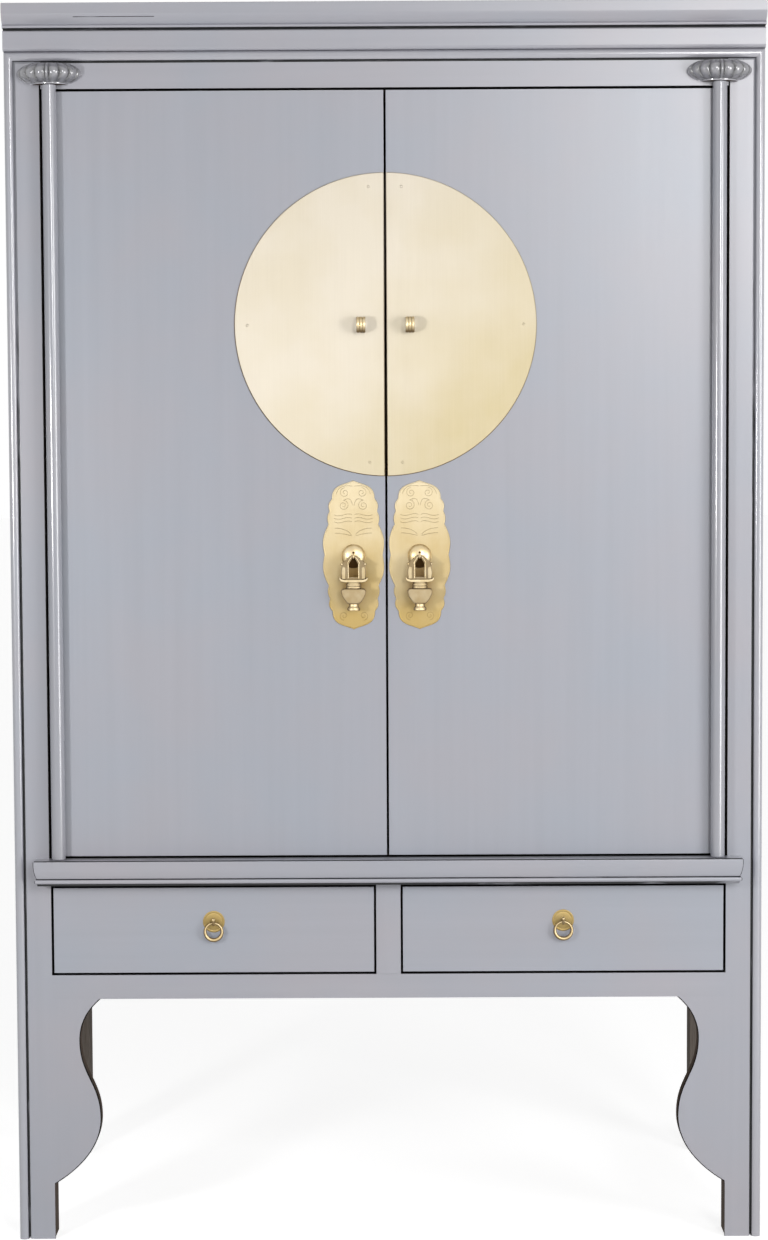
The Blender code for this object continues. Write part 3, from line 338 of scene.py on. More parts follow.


# black glaze wiped into the quirks, which also stands for painted shade there: near black, worn back to the grey in
# patches, and lighter going up from the first height of fade to the second
def rubbedGlazeAndShade(name, along, kept, fade=None):
    look = quirkLineLook
    material, tree, shader = newMaterial(name, Roughness=0.55, IOR=1.5)
    place = addNode(tree, "ShaderNodeTexCoord").outputs["Object"]
    patchMap = addNode(tree, "ShaderNodeMapping", {}, {
        "Vector": place, "Scale": acrossAndAlong(along, *look["patchSize"])})
    patches = addNode(tree, "ShaderNodeTexNoise", {}, {
        "Vector": patchMap.outputs[0], "Scale": 1.0, "Detail": 3.0}).outputs[0]
    if fade:
        height = addNode(tree, "ShaderNodeSeparateXYZ", {}, {0: place}).outputs["Z"]
        higher = addNode(tree, "ShaderNodeMapRange", {}, {
            "Value": height, "From Min": fade[0], "From Max": fade[1], "To Max": look["fade"]})
        patches = addNode(tree, "ShaderNodeMath", {"operation": "ADD"}, {0: patches, 1: higher.outputs[0]}).outputs[0]
    worn = addNode(tree, "ShaderNodeMapRange", {}, {"Value": patches, "From Min": kept[0], "From Max": kept[1]})
    mixed = addNode(tree, "ShaderNodeMix", {"data_type": "RGBA"}, {
        0: worn.outputs[0], 6: linear(look["black"]), 7: linear(look["grey"])})
    tree.links.new(mixed.outputs[2], shader.inputs["Base Color"])
    return material


woodLook = {
    "inside": ("3E342D", "5C4E44"), "leg": ("665E57", "7F766E"), "edge": ("110E0D", "1C1715"),
    "ringSize": (900, 14), "poreSize": (34, 0.9), "roughness": 0.85, "sheen": 0.12,
}


# elm stained brown, or near black on edges beside a gap and along the spandrels' curves as painted shade: long soft
# grain, short dark pores, a dull surface
def stainedElm(name, along, stain="inside"):
    look = woodLook
    dark, light = look[stain]
    material, tree, shader = newMaterial(name, Roughness=look["roughness"], Specular_IOR_Level=look["sheen"])
    place = addNode(tree, "ShaderNodeTexCoord").outputs["Object"]
    ringMap = addNode(tree, "ShaderNodeMapping", {}, {
        "Vector": place, "Scale": acrossAndAlong(along, *look["ringSize"])})
    rings = addNode(tree, "ShaderNodeTexNoise", {}, {
        "Vector": ringMap.outputs[0], "Scale": 1.0, "Detail": 6.0, "Roughness": 0.6, "Distortion": 0.6})
    poreMap = addNode(tree, "ShaderNodeMapping", {}, {
        "Vector": place, "Scale": acrossAndAlong(along, *look["poreSize"])})
    pores = addNode(tree, "ShaderNodeTexNoise", {}, {"Vector": poreMap.outputs[0], "Scale": 1.0, "Detail": 1.0})
    spread = addNode(tree, "ShaderNodeMapRange", {}, {
        "Value": rings.outputs[0], "From Min": 0.32, "From Max": 0.68})
    tint = addNode(tree, "ShaderNodeMix", {"data_type": "RGBA"}, {
        0: spread.outputs[0], 6: linear(dark), 7: linear(light)})
    depth = addNode(tree, "ShaderNodeMapRange", {}, {
        "Value": pores.outputs[0], "From Min": 0.36, "From Max": 0.46, "To Min": 0.72, "To Max": 1.0})
    pored = addNode(tree, "ShaderNodeVectorMath", {"operation": "SCALE"}, {
        0: tint.outputs[2], "Scale": depth.outputs[0]})
    tree.links.new(pored.outputs[0], shader.inputs["Base Color"])
    relief = addNode(tree, "ShaderNodeBump", {}, {
        "Height": depth.outputs[0], "Strength": 0.3, "Distance": 0.2 * mm})
    tree.links.new(relief.outputs[0], shader.inputs["Normal"])
    return material


brassLook = {
    "brown": "573D18", "grimeAndShadeRoughness": 0.7, "grimeAndShadeSheen": 0.2,
    "most": 0.84, "amber": "8F6930", "warmShadeSize": (27, 1000, 52), "warmShadeShare": 0.62,
    "moon": {"pale": "CAC2B3", "aged": "BBAE8B", "cloudSize": 150, "cloudShare": 0.2,
             "brushSize": (120, 0.8), "roughness": (0.58, 0.64), "bump": 0.04, "hollow": 0.5,
             "metal": 0.8, "brushed": 0.8},
    "plate": {"pale": "C8BA9B", "aged": "AE9660", "cloudSize": 60, "cloudShare": 0.2,
              "brushSize": (26, 2.2), "roughness": (0.5, 0.56), "bump": 0.04, "hollow": 1.2,
              "metal": 0.75, "brushed": 0.7},
    "cast": {"pale": "E0CEA8", "aged": "CBB384", "cloudSize": 14, "cloudShare": 0.4,
             "brushSize": (5, 2.5), "roughness": (0.34, 0.42), "bump": 0.02, "hollow": 2.2,
             "metal": 1.0, "brushed": 0.0},
}


# brass: warm metal, brushed as sheet or rubbed as a casting, deeper in tone from the first to the second
# place of fade, with dull brown patina in its hollows, dull brown where the tarnish layer is painted (painted
# shade on what turns from the light, and dirt in the chased lines), and amber painted round the given middle of a pull
# as warm shade
def wornBrass(name, look, fade, warmShadeMiddle=None):
    material, tree, shader = newMaterial(name, Specular_IOR_Level=brassLook["grimeAndShadeSheen"],
                                         Anisotropic=look["brushed"])
    place = addNode(tree, "ShaderNodeTexCoord").outputs["Object"]
    clouds = addNode(tree, "ShaderNodeTexNoise", {}, {
        "Vector": place, "Scale": 1 / (mm * look["cloudSize"]), "Detail": 4.0})
    brushMap = addNode(tree, "ShaderNodeMapping", {}, {
        "Vector": place, "Scale": acrossAndAlong("z", *look["brushSize"])})
    brush = addNode(tree, "ShaderNodeTexNoise", {}, {"Vector": brushMap.outputs[0], "Scale": 1.0, "Detail": 3.0})
    start, way = Vector(fade[0]), Vector(fade[1]) - Vector(fade[0])
    along = addNode(tree, "ShaderNodeVectorMath", {"operation": "DOT_PRODUCT"}, {
        0: place, 1: way / way.length_squared})
    first = start.dot(way) / way.length_squared
    faded = addNode(tree, "ShaderNodeMapRange", {}, {
        "Value": along.outputs["Value"], "From Min": first, "From Max": first + 1})
    cloudy = addNode(tree, "ShaderNodeMapRange", {}, {
        "Value": clouds.outputs[0], "From Min": 0.35, "From Max": 0.65,
        "To Min": -look["cloudShare"], "To Max": look["cloudShare"]})
    deepening = addNode(tree, "ShaderNodeMath", {"operation": "ADD", "use_clamp": True}, {
        0: faded.outputs[0], 1: cloudy.outputs[0]})
    tint = addNode(tree, "ShaderNodeMix", {"data_type": "RGBA"}, {
        0: deepening.outputs[0], 6: linear(look["pale"]), 7: linear(look["aged"])})
    # painted warm shade: amber mixed in round the middle of the pull, fading outwards
    if warmShadeMiddle:
        size = [share * mm for share in brassLook["warmShadeSize"]]
        bothSides = addNode(tree, "ShaderNodeVectorMath", {"operation": "ABSOLUTE"}, {0: place})
        inWarmShade = addNode(tree, "ShaderNodeVectorMath", {"operation": "MULTIPLY_ADD"}, {
            0: bothSides.outputs[0], 1: [1 / s for s in size], 2: [-abs(c) / s for c, s in zip(warmShadeMiddle, size)]})
        reach = addNode(tree, "ShaderNodeVectorMath", {"operation": "LENGTH"}, {0: inWarmShade.outputs[0]})
        warmShade = addNode(tree, "ShaderNodeMapRange", {"interpolation_type": "SMOOTHSTEP"}, {
            "Value": reach.outputs["Value"], "From Min": 0.2, "From Max": 1.0,
            "To Min": brassLook["warmShadeShare"], "To Max": 0.0})
        tint = addNode(tree, "ShaderNodeMix", {"data_type": "RGBA"}, {
            0: warmShade.outputs[0], 6: tint.outputs[2], 7: linear(brassLook["amber"])})
    hollows = addNode(tree, "ShaderNodeAmbientOcclusion", {"only_local": True, "samples": 12}, {
        "Distance": look["hollow"] * mm})
    shut = addNode(tree, "ShaderNodeMapRange", {}, {
        "Value": hollows.outputs["AO"], "From Min": 0.35, "From Max": 0.85, "To Min": 1.0, "To Max": 0.0})
    painted = addNode(tree, "ShaderNodeAttribute", {"attribute_name": "tarnishAndShade"})
    browned = addNode(tree, "ShaderNodeMath", {"operation": "MAXIMUM"}, {
        0: shut.outputs[0], 1: painted.outputs["Fac"]})
    colour = addNode(tree, "ShaderNodeMix", {"data_type": "RGBA"}, {
        0: browned.outputs[0], 6: tint.outputs[2], 7: linear(brassLook["brown"])})
    tree.links.new(colour.outputs[2], shader.inputs["Base Color"])
    rubbed = addNode(tree, "ShaderNodeMapRange", {}, {
        "Value": brush.outputs[0], "From Min": 0.3, "From Max": 0.7,
        "To Min": look["roughness"][0], "To Max": look["roughness"][1]})
    dulled = addNode(tree, "ShaderNodeMix", {}, {
        0: browned.outputs[0], 2: rubbed.outputs[0], 3: brassLook["grimeAndShadeRoughness"]})
    tree.links.new(dulled.outputs[0], shader.inputs["Roughness"])
    bare = addNode(tree, "ShaderNodeMath", {"operation": "MULTIPLY_ADD"}, {
        0: browned.outputs[0], 1: -look["metal"], 2: look["metal"]})
    tree.links.new(bare.outputs[0], shader.inputs["Metallic"])
    facing = addNode(tree, "ShaderNodeNewGeometry").outputs["Normal"]
    level = addNode(tree, "ShaderNodeVectorMath", {"operation": "CROSS_PRODUCT"}, {0: facing, 1: (0, 0, 1)})
    tree.links.new(level.outputs[0], shader.inputs["Tangent"])
    relief = addNode(tree, "ShaderNodeBump", {}, {
        "Height": brush.outputs[0], "Strength": look["bump"], "Distance": 0.1 * mm})
    tree.links.new(relief.outputs[0], shader.inputs["Normal"])
    return material


moonLow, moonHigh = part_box("right_moon_plate")
pullPlateLow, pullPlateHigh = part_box("right_pull_plate")
moonMiddle = (moonLow.z + moonHigh.z) / 2
lacquer = {along: satinLacquer("satinGreyLacquer_" + along, along) for along in "xyz"}
panelLacquer = {along: satinLacquer("satinBlueGreyLacquer_" + along, along, tints="panel") for along in "xz"}
turnedLacquer = satinLacquer("polishedGreyLacquer", "z", "turned")
shadedPoleLacquer = satinLacquer("polishedShadedPoleLacquer", "z", "turned", "pole")
carvedLacquer = satinLacquer("burnishedGreyLacquer", "z", "carved")
elm = {along: stainedElm("stainedElm_" + along, along) for along in "xyz"}
# a grey-brown stain for the rear legs' inner and forward faces
legElm = stainedElm("greyBrownElm", "z", "leg")
shadeBlackElm = stainedElm("shadeBlackenedElm", "z", "edge")
quirkGlazeAndShade = rubbedGlazeAndShade("rubbedGlazeAndShade", "x", (0.60, 0.76))
postGlazeAndShade = rubbedGlazeAndShade("rubbedPostGlaze", "z", (0.60, 0.80), (0.95, 1.5))
# the round plate deepens from pale up on the left to deep down on the right: painted highlight and shade
moonBrass = wornBrass("brushedSheetBrass", brassLook["moon"],
                      ((-0.05, 0, moonMiddle + 0.05), (0.2, 0, moonMiddle - 0.2)))
pullLow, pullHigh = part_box("right_drop_pull")
plateBrass = wornBrass("chasedPlateBrass", brassLook["plate"], ((0, 0, pullPlateHigh.z), (0, 0, pullPlateLow.z)),
                       (pullLow + pullHigh) / 2)
castBrass = wornBrass("castBrass", brassLook["cast"], ((0, 0, moonHigh.z), (0, 0, 0)))
print("materials ready")


# painted shade: brown on what turns away from the bright side
def paintTurnedAwayShade(obj, bright=(0, -1, 0), kept=0.85, soft=0.55):
    layer = obj.data.attributes.new("tarnishAndShade", "FLOAT", "POINT")
    for point, paint in zip(obj.data.vertices, layer.data):
        turnedAway = (kept - point.normal.dot(Vector(bright))) / soft
        paint.value = min(max(turnedAway, 0), 1) * brassLook["most"]


def paintEvenly(obj, amount):
    layer = obj.data.attributes.new("tarnishAndShade", "FLOAT", "POINT")
    for paint in layer.data:
        paint.value = amount


# the corner posts, with a round bead on the outer front corner

postLook = {
    "beadWidth": 13.5 * mm, "beadProud": 2.5 * mm, "quirkWidth": 2.6 * mm, "quirkDepth": 3.2 * mm,
    "ease": 0.9 * mm, "footEase": 2.5 * mm, "poleEase": 2.2 * mm,
}
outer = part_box("front_right_post")[1].x
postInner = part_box("front_right_post")[0].x
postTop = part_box("front_right_post")[1].z
quirkTop = postTop - postLook["beadWidth"] - postLook["quirkWidth"]
quirkFloor = front + postLook["quirkDepth"]
beadRise = postLook["beadProud"] + postLook["quirkDepth"]


def makeFrontPost(side, word):
    look = postLook
    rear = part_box(f"front_{word}_post")[1].y
    landEdge = outer - look["beadWidth"] - look["quirkWidth"]
    core = addBlock(word + "FrontPost", (side * postInner, quirkFloor, 0), (side * outer, rear, postTop))
    easeEdges(core, look["footEase"], lambda e: all(near(v.co.z, 0) for v in e.verts))
    easeEdges(core, look["ease"], lambda e: all(near(v.co.y, rear) for v in e.verts))
    land = addBlock("land", (side * postInner, front, 0), (side * landEdge, quirkFloor, quirkTop))
    apronLow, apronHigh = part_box("apron_rail")
    railLow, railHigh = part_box("middle_rail")
    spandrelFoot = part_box(word + "_spandrel")[0].z
    gapTop = sum(corner.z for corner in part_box(word + "_pivot_capital")) / 2
    scoreAcross(land, (spandrelFoot, apronLow.z, apronHigh.z, railLow.z, railHigh.z, gapTop))
    scoreAcross(core, (apronHigh.z,))
    openRuns = ((0, spandrelFoot), (apronHigh.z, railLow.z))

    # the edge shows where no rail or spandrel meets it
    def showsEdge(edge):
        middle = (edge.verts[0].co + edge.verts[1].co) / 2
        upright = near(edge.verts[0].co.x, edge.verts[1].co.x) and near(middle.y, front)
        atInner = near(abs(middle.x), postInner) and any(a < middle.z < b for a, b in openRuns)
        return upright and isSharp(edge) and (atInner or near(abs(middle.x), landEdge))

    def besidePole(edge):
        a, b = edge.verts[0].co, edge.verts[1].co
        return all(near(abs(p.x), postInner) and near(p.y, front) and p.z > railHigh.z - mm for p in (a, b)) \
            and not near(a.z, b.z) and max(a.z, b.z) < gapTop + mm

    easeEdges(land, look["poleEase"], besidePole)
    easeEdges(land, look["ease"], showsEdge)
    easeEdges(land, look["footEase"], lambda e: all(near(v.co.z, 0) and near(v.co.y, front) for v in e.verts))
    half = look["beadWidth"] / 2
    curve = halfRound(outer - half, half, -quirkFloor, beadRise, 12)
    bead = pullOut(addOutline("bead", [(side * x, -y, 0) for x, y in curve]), (0, 0, postTop))
    sawOff(bead, (side * outer, 0, postTop), (-side, 0, 1))
    joinTo(core, land, bead)

    def inQuirk(middle, facing):
        floorFace = near(middle.y, quirkFloor) and facing.y < -0.9
        landWall = near(abs(middle.x), landEdge) and facing.x * side > 0.9
        beadWall = front < middle.y < quirkFloor and landEdge < abs(middle.x) < outer - half
        return floorFace or landWall or beadWall

    markFaces(core, 3, lambda middle, facing: middle.y < quirkFloor and abs(middle.x) > outer - look["beadWidth"])
    # the quirk in the near-black glaze: glaze, and painted shade in the groove
    markFaces(core, 1, inQuirk)

    def facesIn(middle, facing):
        return facing.x * side < -0.9 and abs(middle.x) < postInner + look["ease"]

    markFaces(core, 2, facesIn)
    # painted shade: the inner faces above the apron, seen in the door gaps, near black
    markFaces(core, 4, lambda middle, facing: facesIn(middle, facing) and middle.z > apronHigh.z)

    # painted shade: the rounded edge beside the pole is near black, as dark as the gap
    def inPoleGap(middle, facing):
        rounded = facing.x * side < -0.2 and abs(middle.x) < postInner + look["poleEase"]
        return rounded and railHigh.z < middle.z < gapTop

    markFaces(core, 4, inPoleGap)
    finishes = (lacquer["z"], postGlazeAndShade, elm["z"], turnedLacquer, shadeBlackElm)
    return finishPiece(core, "carcass", finishes, [f"front_{word}_post"])


for side, word in sides:
    makeFrontPost(side, word)
print("posts done")


# prism along the cabinet's width from (depth, height) points
def addMoulding(name, points, half):
    return pullOut(addOutline(name, [(-half, y, z) for y, z in points]), (2 * half, 0, 0))


topLook = {
    "fascia": 14.5 * mm, "cove": 12 * mm, "bead": 4.4 * mm, "glazeDrop": 19.8 * mm, "glazeRun": (-432 * mm, -319 * mm),
    "beadOut": 2.8 * mm, "lift": 1.0 * mm, "friezeRound": 5 * mm, "friezeBrow": 2.6 * mm, "quirk": 1.6 * mm,
    "quirkDepth": 8 * mm, "ease": 1.0 * mm,
}


def makeTopBoard():
    look = topLook
    low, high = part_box("top_board")
    end = high.z - low.z - look["bead"] - look["lift"]
    back = look["cove"]
    edge = [(0, 0)]
    edge += bezier([(look["fascia"], 0), (look["glazeDrop"] - 2 * mm, 0), (end - 4 * mm, back * 0.6), (end, back)], 18)
    half = look["bead"] / 2
    edge += [(end + half - along, back - out) for along, out in halfRound(0, half, 0, look["beadOut"], 8)[1:]]
    edge += [(end + look["bead"], back + look["quirkDepth"])]
    points = [(low.y + setback, high.z - drop) for drop, setback in edge]
    points += [(low.y + back + look["quirkDepth"], low.z), (high.y, low.z), (high.y, high.z)]
    board = addMoulding("topBoard", points, high.x)
    underBead = high.z - end - look["bead"]
    scoreAcross(board, look["glazeRun"], (1, 0, 0))
    inRun = [face for face in board.data.polygons if look["glazeRun"][0] < face.center.x < look["glazeRun"][1]]
    line = min(inRun, key=lambda face: abs(high.z - look["glazeDrop"] - face.center.z) + abs(face.center.y - low.y))
    line.material_index = 1
    # the quirk under the bead in the near-black glaze: glaze, and painted shade
    markFaces(board, 1, lambda m, n: m.z < underBead + mm * 0.1 and abs(n.x) < 0.1 and m.y < low.y + 0.1)
    easeEdges(board, look["ease"], lambda e: all(near(v.co.z, high.z) for v in e.verts))
    finishPiece(board, "carcass", (lacquer["x"], quirkGlazeAndShade), ["top_board"])


def makeFrieze():
    look = topLook
    low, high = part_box("cornice_frieze")
    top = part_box("top_board")[0].z
    brow = top - look["quirk"]
    foot = look["friezeRound"]
    turns = [math.pi / 2 * i / 6 for i in range(7)]
    points = [(high.y, low.z), (high.y, top), (low.y + look["quirkDepth"], top)]
    points += [(low.y + look["quirkDepth"], brow)]
    points += [(low.y + look["friezeBrow"] * (1 - math.sin(t)), brow - look["friezeBrow"] * (1 - math.cos(t)))
               for t in turns]
    points += [(low.y + foot * (1 - math.cos(t)), low.z + foot * (1 - math.sin(t))) for t in turns]
    frieze = addMoulding("corniceFrieze", points, high.x)
    # the quirk at the top in the near-black glaze: glaze, and painted shade
    markFaces(frieze, 1, lambda m, n: m.z > brow - mm * 0.05 and abs(n.x) < 0.1)
    finishPiece(frieze, "carcass", (lacquer["x"], quirkGlazeAndShade), ["cornice_frieze"])


def makeBeadStrip():
    half = postLook["beadWidth"] / 2
    curve = halfRound(postTop - half, half, -quirkFloor, beadRise, 12)
    strip = addMoulding("topBead", [(-y, z) for z, y in curve], outer)
    for side, word in sides:
        sawOff(strip, (side * outer, 0, postTop), (side, 0, -1))
    # the quirk under the strip in the near-black glaze: glaze, and painted shade
    markFaces(strip, 1, lambda m, n: m.y > front and m.z < postTop - half)
    finishPiece(strip, "carcass", (turnedLacquer, quirkGlazeAndShade), ["top_bead"])


def makeTopRail():
    low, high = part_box("top_rail")
    points = [(front, low.z), (front, quirkTop), (quirkFloor, quirkTop), (quirkFloor, postTop)]
    points += [(high.y, postTop), (high.y, low.z)]
    rail = addMoulding("topRail", points, postInner)
    # the quirk in the near-black glaze: glaze, and painted shade
    markFaces(rail, 1, lambda m, n: m.z > quirkTop - mm * 0.05 and m.y < quirkFloor + mm * 0.05)
    # painted shade: the underside over the doors near black
    markFaces(rail, 2, lambda m, n: n.z < -0.9)
    easeEdges(rail, 0.9 * mm, lambda e: all(near(v.co.z, low.z) and near(v.co.y, front) for v in e.verts))
    finishPiece(rail, "carcass", (lacquer["x"], quirkGlazeAndShade, shadeBlackElm), ["top_rail"])


makeTopBoard()
makeFrieze()
makeBeadStrip()
makeTopRail()
print("top done")


# the ledge that carries the door poles: rectangles stacked down its section give the returned ends

ledgeLook = {"fascia": 4 * mm, "ovolo": 4.8 * mm, "bead": 6.6 * mm, "ease": 1 * mm,
             "quirk": 3 * mm, "quirkDepth": 0.6 * mm, "topLine": 11 * mm, "endShadeLine": 0.9 * mm}


def makeLedge():
    look = ledgeLook
    low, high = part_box("pivot_ledge")
    end = high.z - low.z - look["bead"] - look["quirk"]
    back = look["ovolo"]
    steps = [(0, look["ease"]), (look["ease"] * 0.3, look["ease"] * 0.3), (look["ease"], 0)]
    steps += bezier([(look["fascia"], 0), (end * 0.55, 0), (end * 0.9, back * 0.6), (end, back)], 12)
    half = look["bead"] / 2
    steps += [(end + half - along, back - out) for along, out in halfRound(0, half, 0, half, 10)[1:]]
    steps += [(end + look["bead"], back + look["quirkDepth"]), (high.z - low.z, back + look["quirkDepth"])]

    def corners(drop, inset):
        x, y, z = high.x - inset, low.y + inset, high.z - drop
        return [(-x, y, z), (x, y, z), (x, front, z), (-x, front, z)]

    def isLowest(face):
        return near(face.calc_center_median().z, min(v.co.z for v in ledge.data.vertices)) and abs(face.normal.z) > 0.9

    ledge = addOutline("pivotLedge", corners(*steps[0]))
    for drop, inset in steps[1:]:
        startEdit(ledge)
        pick(ledge, "faces", isLowest)
        bpy.ops.mesh.extrude_region_move()
        mesh = bmesh.from_edit_mesh(ledge.data)
        for corner in (v for v in mesh.verts if v.select):
            x = math.copysign(high.x - inset, corner.co.x)
            y = front if near(corner.co.y, front) else low.y + inset
            corner.co = (x, y, high.z - drop)
        bmesh.update_edit_mesh(ledge.data)
        endEdit()
    def atFrontCorner(edge):
        return not near(edge.verts[0].co.z, edge.verts[1].co.z) and edge.verts[0].co.y < front - mm

    # painted shadow: the eased front corners of the returned ends get the near-black glaze, a dark line where each end
    # stands off its post
    easeEdges(ledge, look["endShadeLine"], atFrontCorner)
    markFaces(ledge, 1, lambda m, n: abs(n.x) > 0.3 and n.y < -0.3)
    beadTop = high.z - end
    beadLow = beadTop - look["bead"]
    # painted shade: the crease between the ovolo and the bead, and the recess under the bead, in the near-black glaze
    markFaces(ledge, 1, lambda m, n: abs(m.z - beadTop) < 0.5 * mm or m.z < beadLow + 0.05 * mm)
    # a line scored across the top, and the strip in front of it in the near-black glaze
    scoreAcross(ledge, (low.y + look["topLine"],), (0, 1, 0))
    markFaces(ledge, 1, lambda m, n: n.z > 0.99 and m.y < low.y + look["topLine"])
    finishPiece(ledge, "carcass", (lacquer["x"], quirkGlazeAndShade), ["pivot_ledge"])


makeLedge()
print("ledge done")


# melon-lobed capitals over the door poles

capitalLook = {
    "radius": 44.5 * mm, "footRadius": 25.2 * mm, "foot": 5 * mm, "swell": 17.6 * mm, "widen": 1.04,
    "lobes": 4, "ribShare": 0.04, "lobeDepth": 0.085, "lobeFade": 5, "steps": 288, "wash": 0.42, "lowWash": 0.3,
    "footLift": 3 * mm,
}


# how full the melon is at a turn from the front: 1 on a lobe, 0 in a groove
def lobeFullness(turn, widest):
    look = capitalLook
    share = min(abs(turn) / widest, 1)
    lobe = (1 - look["ribShare"]) / look["lobes"]
    if share < look["ribShare"]:
        across = 0.5 + 0.5 * share / look["ribShare"]
    else:
        across = ((share - look["ribShare"]) / lobe) % 1
    return math.sqrt(max(0, 1 - (2 * across - 1) ** 2))


def makeCapital():
    look = capitalLook
    low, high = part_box("right_pivot_capital")
    middleX = (low.x + high.x) / 2
    middleY = low.y + look["radius"]
    tall = high.z - low.z
    level = (look["foot"] + tall) / 2
    rows = [look["foot"] + (tall - look["foot"]) * i / 22 for i in range(23)]
    lift = look["footLift"]
    section = [(0, lift), (look["footRadius"] - 0.6 * mm, lift), (look["footRadius"], lift + 0.6 * mm)]
    section += [(look["footRadius"], look["foot"])]
    section += [(look["radius"] * math.sqrt(1 - ((h - level) / look["swell"]) ** 2), h) for h in rows]
    section += [(section[-1][0] * 0.5, tall), (0, tall)]
    capital = turnOnLathe("rightCapital", section, look["steps"])
    widest = math.acos((middleY - front) / look["radius"])
    # the glaze layer: darkest in the grooves between the lobes, over a wash that is glaze and painted shade, with more
    # painted shade on the lower half
    layer = capital.data.attributes.new("glaze", "FLOAT", "POINT")
    for point, paint in zip(capital.data.vertices, layer.data):
        if point.co.z < look["foot"] - mm * 0.1 or point.co.xy.length < mm:
            continue
        fullness = lobeFullness(math.atan2(point.co.x, -point.co.y), widest)
        fromMiddle = abs(point.co.z - level) / (tall - level)
        reach = 1 - look["lobeDepth"] * (1 - fullness) * (1 - fromMiddle ** look["lobeFade"])
        point.co.x *= reach
        point.co.y *= reach
        wash = look["wash"] + look["lowWash"] * max(0, (level - point.co.z) / level)
        paint.value = min(1, wash + max(0, 1 - fullness) ** 0.9)
    moveTo(capital, (middleX, middleY, low.z), scale=(look["widen"], 1, 1))
    sawOff(capital, (middleX, front, low.z), (0, 1, 0))
    markFaces(capital, 1, lambda m, n: near(m.z, low.z + lift))
    return capital


rightCapital = makeCapital()
leftCapital = mirrored(rightCapital, "leftCapital")
for capital, word in ((leftCapital, "left"), (rightCapital, "right")):
    finishPiece(capital, "carcass", (carvedLacquer, elm["x"]), [word + "_pivot_capital"], 50)
print("capitals done")


# rails, divider and spandrels lie flush, with no line between them under the paint

spandrelLook = {
    "topReach": 69 * mm, "waistReach": 39 * mm, "waistDrop": 60 * mm, "bellyReach": 68 * mm, "bellyDrop": 172.7 * mm,
    "footReach": 0.5 * mm, "footDrop": 268.7 * mm, "scoop": (19 * mm, 16 * mm), "waistEase": 25 * mm,
    "swing": 0.45, "bellyEase": 44 * mm, "toe": (32 * mm, 19 * mm), "ease": 1.5 * mm,
}


def makeSpandrel(side, word):
    look = spandrelLook
    low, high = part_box(word + "_spandrel")
    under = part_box("apron_rail")[0].z
    top = (look["topReach"], 0)
    waist = (look["waistReach"], look["waistDrop"])
    belly = (look["bellyReach"], look["bellyDrop"])
    foot = (look["footReach"], look["footDrop"])
    swing = (belly[1] - waist[1]) * look["swing"]
    scoop = (top[0] - look["scoop"][0], look["scoop"][1])
    toe = (foot[0] + look["toe"][0], foot[1] - look["toe"][1])
    curve = bezier([top, scoop, (waist[0], waist[1] - look["waistEase"]), waist], 16)
    curve += bezier([waist, (waist[0], waist[1] + swing), (belly[0], belly[1] - swing), belly], 24)[1:]
    curve += bezier([belly, (belly[0], belly[1] + look["bellyEase"]), toe, foot], 24)[1:]
    outline = [(0, 0)] + curve + [(0, look["footDrop"])]
    points = [(side * (postInner - reach), front, under - drop) for reach, drop in outline]
    spandrel = pullOut(addOutline(word + "Spandrel", points), (0, high.y - low.y, 0))
    inside = lambda m, n: abs(n.y) < 0.5 and abs(m.x) < postInner - mm * 0.1 and m.z < under - mm * 0.1
    markFaces(spandrel, 1, inside)

    def onCurve(edge):
        flush = all(near(v.co.y, front) for v in edge.verts)
        joint = all(near(abs(v.co.x), postInner) for v in edge.verts) or all(near(v.co.z, under) for v in edge.verts)
        return flush and not joint

    easeEdges(spandrel, look["ease"], onCurve)
    # painted shade: the eased edge along the curve near black, a dark outline
    markFaces(spandrel, 2, lambda m, n: -0.97 < n.y < -0.1)
    finishPiece(spandrel, "carcass", (lacquer["z"], elm["z"], shadeBlackElm), [word + "_spandrel"])


# a flat front: lacquer on its face, near-black edges as painted shade in the gaps round it, and a bare back
def addFlushFront(name, low, high, ease, easedEdges=isSharp):
    made = addBlock(name, low, high)
    easeEdges(made, ease, lambda e: all(near(v.co.y, low[1]) for v in e.verts) and easedEdges(e))
    markFaces(made, 1, lambda m, n: n.y > -0.3)
    markFaces(made, 2, lambda m, n: n.y > 0.9)
    return made


def makeFlushRail(name, node, low, high, along, easedEdges):
    rail = addFlushFront(name, low, high, 0.9 * mm, easedEdges)
    finishPiece(rail, "carcass", (lacquer[along], shadeBlackElm, elm[along]), [node])


def levelEdge(*heights):
    return lambda e: any(all(near(v.co.z, height) for v in e.verts) for height in heights)


apronLow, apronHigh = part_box("apron_rail")
makeFlushRail("apronRail", "apron_rail", (-postInner, front, apronLow.z), (postInner, apronHigh.y, apronHigh.z), "x",
              levelEdge(apronHigh.z))
railLow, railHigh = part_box("middle_rail")
makeFlushRail("middleRail", "middle_rail", (-postInner, front, railLow.z), (postInner, railHigh.y, railHigh.z), "x",
              levelEdge(railHigh.z, railLow.z))
splitLow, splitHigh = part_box("drawer_divider")
makeFlushRail("drawerDivider", "drawer_divider", (splitLow.x, front, apronHigh.z), (splitHigh.x, splitHigh.y, railLow.z), "z",
              lambda e: near(e.verts[0].co.x, e.verts[1].co.x))
for side, word in sides:
    makeSpandrel(side, word)
print("rails and spandrels done")


# plain boards: the shape is the frame's, with its edges eased

boardLook = {"ease": 0.8 * mm}


